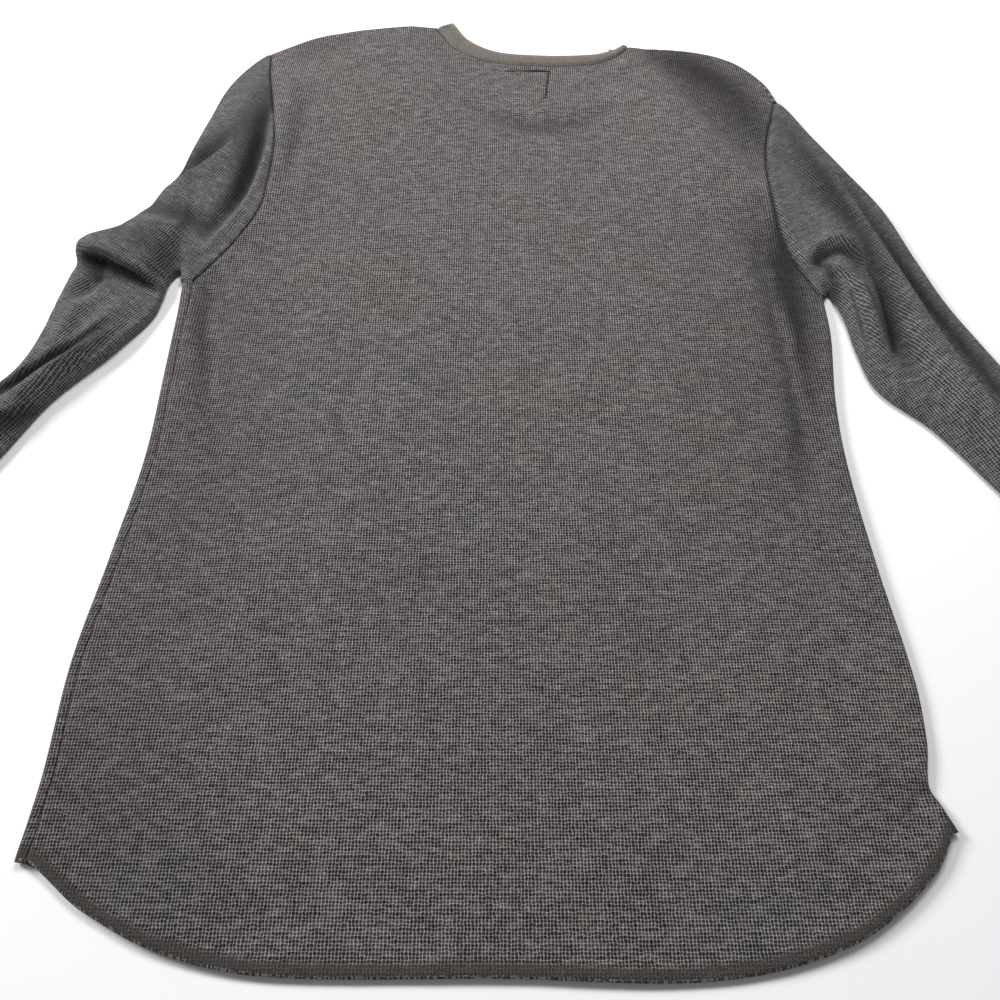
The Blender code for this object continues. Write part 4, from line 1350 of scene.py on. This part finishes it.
def noise(tree, vector, scale, detail=2.0, dimensions="3D"):
    node = tree.nodes.new("ShaderNodeTexNoise")
    node.noise_dimensions = dimensions
    put(tree, node.inputs["Vector"], vector)
    node.inputs["Scale"].default_value = scale
    node.inputs["Detail"].default_value = detail
    return node.outputs["Fac"]


def off_middle(tree, value):
    """How far a repeating value is from the middle of its repeat, from 0 to a half."""
    return absolute(tree, minus(tree, fraction(tree, value), 0.5))


def uv_map(tree, name):
    node = tree.nodes.new("ShaderNodeUVMap")
    node.uv_map = name
    return node.outputs["UV"]


def split(tree, vector):
    node = tree.nodes.new("ShaderNodeSeparateXYZ")
    tree.links.new(vector, node.inputs[0])
    return node.outputs[0], node.outputs[1]


def joined(tree, x, y, z=0.0):
    node = tree.nodes.new("ShaderNodeCombineXYZ")
    for socket, value in zip(node.inputs, (x, y, z)):
        put(tree, socket, value)
    return node.outputs[0]


def new_group(name, inputs, outputs):
    """An empty node group with named sockets, given as (name, type, default)."""
    group = bpy.data.node_groups.new(name, "ShaderNodeTree")
    for label, kind, default in inputs:
        socket = group.interface.new_socket(label, in_out="INPUT", socket_type=kind)
        if default is not None:
            socket.default_value = default
    for label in outputs:
        group.interface.new_socket(label, in_out="OUTPUT", socket_type="NodeSocketFloat")
    return group, group.nodes.new("NodeGroupInput"), group.nodes.new("NodeGroupOutput")


VECTOR = "NodeSocketVector"
FLOAT = "NodeSocketFloat"
# The knit in metres: a cell's pitch, how far the walls wander, and a stitch's length
WAFFLE_PITCH = 0.00195
WOBBLE = 0.00042
STITCH_LENGTH = 0.0011
# How fine the wander, the strands and the drifts of tone are
WANDER_SCALE = 260.0
WANDER_LAYERS = (0.0, 7.7)
WANDER_GAIN = 4.0
STRAND_SCALE = 95.0
ROW_SHIFT = 3.7
DRIFT_SCALE = 9.0
# Where a wall starts and is full, from a cell's middle, and how low the walls along rows are
WALL_FROM, WALL_FULL = 0.40, 0.98
ROW_WALL = 0.74


# %% The waffle
# It gives the walls, their crossings and a chance value for each cell
def build_waffle_group():
    group, given, result = new_group(
        "waffle_relief",
        (("Map", VECTOR, None), ("Pitch", FLOAT, WAFFLE_PITCH), ("Wobble", FLOAT, WOBBLE)),
        ("Wall", "Crossing", "Cell"),
    )
    x, y = split(group, given.outputs["Map"])
    wander = []
    for shift in WANDER_LAYERS:
        place = joined(group, x, y, shift)
        level = minus(group, noise(group, place, WANDER_SCALE, 1.0), 0.5)
        wander.append(times(group, level, given.outputs["Wobble"]))
    cells = []
    walls = []
    for value, drift in zip((x, y), wander):
        moved = plus(group, value, times(group, drift, WANDER_GAIN))
        scaled = over(group, moved, given.outputs["Pitch"])
        cells.append(whole(group, scaled))
        away = times(group, off_middle(group, scaled), 2.0)
        walls.append(ramp(group, away, WALL_FROM, WALL_FULL))
    chance = group.nodes.new("ShaderNodeTexWhiteNoise")
    group.links.new(joined(group, cells[0], cells[1]), chance.inputs["Vector"])
    flat_rows = times(group, walls[1], ROW_WALL)
    group.links.new(larger(group, walls[0], flat_rows), result.inputs["Wall"])
    group.links.new(times(group, walls[0], walls[1]), result.inputs["Crossing"])
    group.links.new(chance.outputs["Value"], result.inputs["Cell"])
    return group


waffle_group = build_waffle_group()
print("node group:", waffle_group.name)


# %% The heather
# It gives strands along the rows, single bright stitches and slow drifts of tone
def build_heather_group():
    group, given, result = new_group(
        "heather_yarn",
        (("Map", VECTOR, None), ("Place", VECTOR, None), ("Row", FLOAT, WAFFLE_PITCH)),
        ("Strand", "Fleck", "Drift"),
    )
    x, y = split(group, given.outputs["Map"])
    row = whole(group, over(group, y, given.outputs["Row"]))
    along = joined(group, times(group, x, STRAND_SCALE), times(group, row, ROW_SHIFT))
    strand = noise(group, along, 1.0, 2.0)
    stitch = whole(group, over(group, x, STITCH_LENGTH))
    chance = group.nodes.new("ShaderNodeTexWhiteNoise")
    group.links.new(joined(group, stitch, row), chance.inputs["Vector"])
    group.links.new(strand, result.inputs["Strand"])
    group.links.new(chance.outputs["Value"], result.inputs["Fleck"])
    drift = noise(group, given.outputs["Place"], DRIFT_SCALE, 3.0)
    group.links.new(drift, result.inputs["Drift"])
    return group


heather_group = build_heather_group()
print("node group:", heather_group.name)


def use_group(tree, group, **values):
    node = tree.nodes.new("ShaderNodeGroup")
    node.node_tree = group
    for label, value in values.items():
        put(tree, node.inputs[label], value)
    return node.outputs


# %% [markdown]
# ## The finishes
#
# The body, the sleeves and the neckband share a dark heather yarn. Where the cloth was worn and
# washed it turned a little brown or blue in soft patches, which a slow noise lays over the tone.
# Cotton fuzz catches light at grazing angles, so the shader gets a little sheen.

# %% Colours and weights of the finishes
# The pit colours are painted shade: the same yarn, darkened as the shade in the waffle's pits
PIT_COLOUR = (0.0060, 0.0052, 0.0052, 1.0)
WALL_COLOUR = (0.345, 0.310, 0.309, 1.0)
SLEEVE_PIT_COLOUR = (0.0150, 0.0145, 0.0160, 1.0)
SLEEVE_WALL_COLOUR = (0.268, 0.255, 0.262, 1.0)
TINT_WEIGHT = 0.42
SLUB_COLOUR = (0.40, 0.380, 0.376, 1.0)
COOL_TINT = (0.94, 0.99, 1.05, 1.0)
WARM_TINT = (1.05, 0.99, 0.96, 1.0)
HEM_DARK = (0.016, 0.014, 0.012, 1.0)
HEM_LIGHT = (0.098, 0.087, 0.076, 1.0)


# The shader's own settings: rough, barely shining, with a little fuzz
FABRIC = {
    "Roughness": 0.92, "Specular IOR Level": 0.18, "Sheen Weight": 0.08, "Sheen Roughness": 0.55,
}
BUMP_STRENGTH = 0.5
WAFFLE_RELIEF = 0.0005
RIB_RELIEF = 0.0004
# How far a wall and, more, a crossing are painted lighter than the pits' painted shade, and how
# much a chance lift of a wall shows
WALL_TONE, CROSSING_TONE, LIFT_TONE = 0.36, 0.52, 0.34
FLECK_HEIGHT = 0.25


def fabric_base(name):
    material = bpy.data.materials.new(name)
    material.use_nodes = True
    tree = material.node_tree
    shader = tree.nodes["Principled BSDF"]
    for label, value in FABRIC.items():
        shader.inputs[label].default_value = value
    place = tree.nodes.new("ShaderNodeTexCoord").outputs["Object"]
    return material, tree, shader, uv_map(tree, "knit"), place


def add_bump(tree, shader, height, distance):
    bump = tree.nodes.new("ShaderNodeBump")
    bump.inputs["Distance"].default_value = distance
    bump.inputs["Strength"].default_value = BUMP_STRENGTH
    tree.links.new(height, bump.inputs["Height"])
    tree.links.new(bump.outputs["Normal"], shader.inputs["Normal"])


# The hem's band in metres from the edge: where it starts to fade and ends, how far it wavers,
# the line stitched along it, and how far in the pale flecks of its rim reach
BAND_FADES, BAND_ENDS = 0.0076, 0.0106
BAND_WEIGHT = 0.82
BAND_WAVER, WAVER_SCALE = 0.003, 90.0
FUZZ_SCALE = 1500.0
STITCHED_LINE = 0.0088
LINE_CORE, LINE_EDGE, LINE_WEIGHT = 0.0003, 0.0009, 0.35
RIM_CORE, RIM_EDGE, RIM_WEIGHT = 0.0008, 0.0022, 0.8


def hem_shade(tree, colour, fleck):
    """The turned hem's darker, browner band, its stitched line and the pale flecks of its rim."""
    away, along = split(tree, uv_map(tree, "hem"))
    uneven = noise(tree, joined(tree, away, along), WAVER_SCALE, 2.0)
    reach = plus(tree, away, times(tree, uneven, BAND_WAVER))
    band = ramp(tree, reach, BAND_FADES, BAND_ENDS, BAND_WEIGHT, 0.0)
    fuzz = noise(tree, joined(tree, away, along), FUZZ_SCALE, 1.0)
    hem_yarn = mixed(tree, ramp(tree, fuzz, 0.35, 0.75), HEM_DARK, HEM_LIGHT)
    # The band is partly the hem's own browner yarn and partly the painted shade of its curl
    colour = mixed(tree, band, colour, hem_yarn)
    off_line = absolute(tree, minus(tree, away, STITCHED_LINE))
    line = ramp(tree, off_line, LINE_CORE, LINE_EDGE, LINE_WEIGHT, 0.0)
    colour = mixed(tree, line, colour, PIT_COLOUR)
    rim = ramp(tree, away, RIM_CORE, RIM_EDGE, RIM_WEIGHT, 0.0)
    speck = ramp(tree, fleck, 0.35, 0.9)
    return mixed(tree, times(tree, rim, speck), colour, SLUB_COLOUR)


# The label's place, in metres of the knit map: its top line, which bows down from its middle,
# its right side, which leans, and the ends, widths and stitches of those two lines
LABEL_TOP = 0.8333
LABEL_MIDDLE = 0.024
LABEL_BOW = 3.5
TOP_ENDS, TOP_THREAD_AND_SHADE = (0.005, 0.0495), 0.0014
LABEL_SIDE = 0.0484
LABEL_LEAN = 0.108
LABEL_FOOT, SIDE_THREAD = 0.787, 0.0016
LABEL_STITCH, STITCH_GAP = 0.0046, 0.18
THREAD_CORE = 0.4
# It is on the back only, more than this far above the hem
ABOVE_FRONT = 0.745


def between(tree, value, low, high):
    return times(tree, above(tree, value, low),
                  below(tree, value, high))


def dark_line(tree, value, target, width):
    """1 on a line where value meets target, fading to 0 over its width."""
    off = absolute(tree, minus(tree, value, target))
    return ramp(tree, off, width * THREAD_CORE, width, 1.0, 0.0)


def label_thread_and_shade(tree, knit_map):
    """A label's place: its top line, thread with its crease's painted shade, and its right side's
    long stitches.
    """
    x, y = split(tree, knit_map)
    aside = minus(tree, x, LABEL_MIDDLE)
    bow = times(tree, times(tree, aside, aside), LABEL_BOW)
    # The top line is painted dark both for its thread and for the shade of the crease it pulls
    top = dark_line(tree, y, minus(tree, LABEL_TOP, bow), TOP_THREAD_AND_SHADE)
    top = times(tree, top, between(tree, x, *TOP_ENDS))
    drop = times(tree, minus(tree, y, LABEL_TOP), LABEL_LEAN)
    side = dark_line(tree, x, plus(tree, drop, LABEL_SIDE), SIDE_THREAD)
    side = times(tree, side, between(tree, y, LABEL_FOOT, LABEL_TOP))
    phase = fraction(tree, over(tree, y, LABEL_STITCH))
    side = times(tree, side, above(tree, phase, STITCH_GAP))
    away = split(tree, uv_map(tree, "hem"))[0]
    return times(tree, larger(tree, top, side), above(tree, away, ABOVE_FRONT))


def waffle_finish(name, pit_colour, wall_colour, labelled=False):
    material, tree, shader, knit_map, place = fabric_base(name)
    waffle = use_group(tree, waffle_group, Map=knit_map)
    heather = use_group(tree, heather_group, Map=knit_map, Place=place)
    # Painted light and shade: walls and crossings lighter, pits darker, as light falls on the
    # relief
    tone = times(tree, waffle["Wall"], WALL_TONE)
    tone = plus(tree, tone, times(tree, waffle["Crossing"], CROSSING_TONE))
    lift = times(tree, waffle["Cell"], waffle["Wall"])
    tone = plus(tree, tone, times(tree, lift, LIFT_TONE))
    strand = ramp(tree, heather["Strand"], 0.3, 0.72, -0.10, 0.11)
    tone = plus(tree, tone, strand)
    colour = mixed(tree, tone, pit_colour, wall_colour)
    slub = ramp(tree, heather["Strand"], 0.56, 0.74, 0.0, 0.55)
    bright = ramp(tree, heather["Fleck"], 0.55, 1.0)
    shine = times(tree, times(tree, slub, bright), waffle["Wall"])
    spark = ramp(tree, heather["Fleck"], 0.93, 1.0, 0.0, 0.5)
    shine = larger(tree, shine, times(tree, spark, waffle["Crossing"]))
    colour = mixed(tree, shine, colour, SLUB_COLOUR)
    side = ramp(tree, heather["Drift"], 0.38, 0.62)
    tint = mixed(tree, side, COOL_TINT, WARM_TINT)
    colour = mixed(tree, TINT_WEIGHT, colour, mixed(tree, 1.0, colour, tint, "MULTIPLY"))
    colour = hem_shade(tree, colour, heather["Fleck"])
    if labelled:
        colour = mixed(tree, label_thread_and_shade(tree, knit_map), colour, PIT_COLOUR)
    # Painted shade: the share stored on the mesh darkens the colour towards the pit colour
    painted_shade = tree.nodes.new("ShaderNodeAttribute")
    painted_shade.attribute_name = "painted_shade"
    colour = mixed(tree, painted_shade.outputs["Fac"], colour, PIT_COLOUR)
    tree.links.new(colour, shader.inputs["Base Color"])
    height = plus(tree, waffle["Wall"], times(tree, heather["Fleck"], FLECK_HEIGHT))
    add_bump(tree, shader, height, WAFFLE_RELIEF)
    return material


knit = waffle_finish("waffle_knit", PIT_COLOUR, WALL_COLOUR, labelled=True)
sleeve_knit = waffle_finish("sleeve_waffle_knit", SLEEVE_PIT_COLOUR, SLEEVE_WALL_COLOUR)
print("finishes:", knit.name, "and", sleeve_knit.name)


# %% The neckband's rib
# Fine ridges run across the band, with painted shade in the grooves between them, and it turns
# olive at the rolled edge
RIB_WIDTH = 0.0016
RIB_ROW = 0.0013
RIDGE_TONE, LOOP_TONE, LEAST_TONE = 0.62, 0.14, 0.12
ROLL_FROM, ROLL_FULL = -0.0085, -0.0015
RIB_GROOVE = (0.022, 0.020, 0.018, 1.0)
RIB_RIDGE = (0.240, 0.210, 0.188, 1.0)
RIB_EDGE = (0.345, 0.290, 0.238, 1.0)


def rib_finish():
    material, tree, shader, knit_map, place = fabric_base("neck_rib")
    heather = use_group(tree, heather_group, Map=knit_map, Place=place, Row=RIB_ROW)
    x, y = split(tree, knit_map)
    ridge = ramp(tree, off_middle(tree, over(tree, x, RIB_WIDTH)), 0.10, 0.38)
    loop_shade = ramp(tree, off_middle(tree, over(tree, y, RIB_ROW)), 0.1, 0.5)
    tone = plus(tree, times(tree, ridge, RIDGE_TONE), LEAST_TONE)
    tone = plus(tree, tone, times(tree, loop_shade, LOOP_TONE))
    tone = plus(tree, tone, ramp(tree, heather["Fleck"], 0, 1, -0.1, 0.12))
    rolled = ramp(tree, y, ROLL_FROM, ROLL_FULL)
    light = mixed(tree, rolled, RIB_RIDGE, RIB_EDGE)
    tree.links.new(mixed(tree, tone, RIB_GROOVE, light), shader.inputs["Base Color"])
    add_bump(tree, shader, plus(tree, ridge, loop_shade), RIB_RELIEF)
    return material


rib = rib_finish()
print("finish:", rib.name)


# %% The back
def back_parts():
    face_map, face_hem = plain_map(back["face"]), hem_distance(back["face"])
    parts = [(back["face"], face_map, face_hem, False)]
    rows, fold = back["low_rows"], back["right_fold"]
    edge_map = run_on_map(face_map[rows, -1], fold, 1, 0, 1)
    edge_hem = run_on_map(face_hem[rows, -1], fold, 1, 1, 1)
    parts.append((fold, edge_map, edge_hem, False))
    for where, fold in zip((back["left"], back["right"]), back["shoulders"]):
        edge_map = run_on_map(face_map[-1, where], fold, 0, 1, 1)
        edge_hem = run_on_map(face_hem[-1, where], fold, 0, 0, 1)
        parts.append((fold, edge_map, edge_hem, False))
    return parts


back_piece = sheet_mesh("back_panel", back_parts(), CLOTH_WALL, knit)
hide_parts("back")
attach(back_piece, "root")
print("back area", round(half_area(back_piece), 4), "m2,", len(back_piece.data.polygons), "faces")


# %% The front
def front_parts():
    face_map, face_hem = plain_map(front["face"]), hem_distance(front["face"])
    parts = [(front["face"][:, ::-1], face_map[:, ::-1], face_hem[:, ::-1], False)]
    rows, fold = front["low_rows"], front["left_fold"][:, ::-1]
    edge_map = run_on_map(face_map[rows, 0], fold, 1, 0, -1)
    edge_hem = run_on_map(face_hem[rows, 0], fold, 1, 1, -1)
    parts.append((fold, edge_map, edge_hem, False))
    return parts


front_piece = sheet_mesh("front_panel", front_parts(), CLOTH_WALL, knit)
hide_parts("front")
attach(front_piece, "root")
print("front area", round(half_area(front_piece), 4), "m2")

# %% The sleeves
def mouth_map(rings):
    """How far each point of a tube is from its mouth, and how far round it lies."""
    mapping = ring_map(rings)
    return np.stack([-mapping[:, :, 1], mapping[:, :, 0]], axis=2)


for name, rings in sleeves.items():
    tube = (rings, sleeve_map(rings, SLEEVE_WAYS[name]), mouth_map(rings), True)
    piece = sheet_mesh(
        "sleeve_" + name + "_tube", [tube], CLOTH_WALL, sleeve_knit, flip=name == "left"
    )
    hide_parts("sleeve_" + name)
    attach(piece, "root")
    print(name, "sleeve area", round(half_area(piece), 4), "m2,", len(piece.data.polygons), "faces")

# %% The neckband
band_piece = sheet_mesh(
    "neck_rib_band", [(neckband, ring_map(neckband), mouth_map(neckband), True)], RIB_WALL, rib
)
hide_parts("neckband")
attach(band_piece, "root")
print("neckband area", round(half_area(band_piece), 4), "m2")
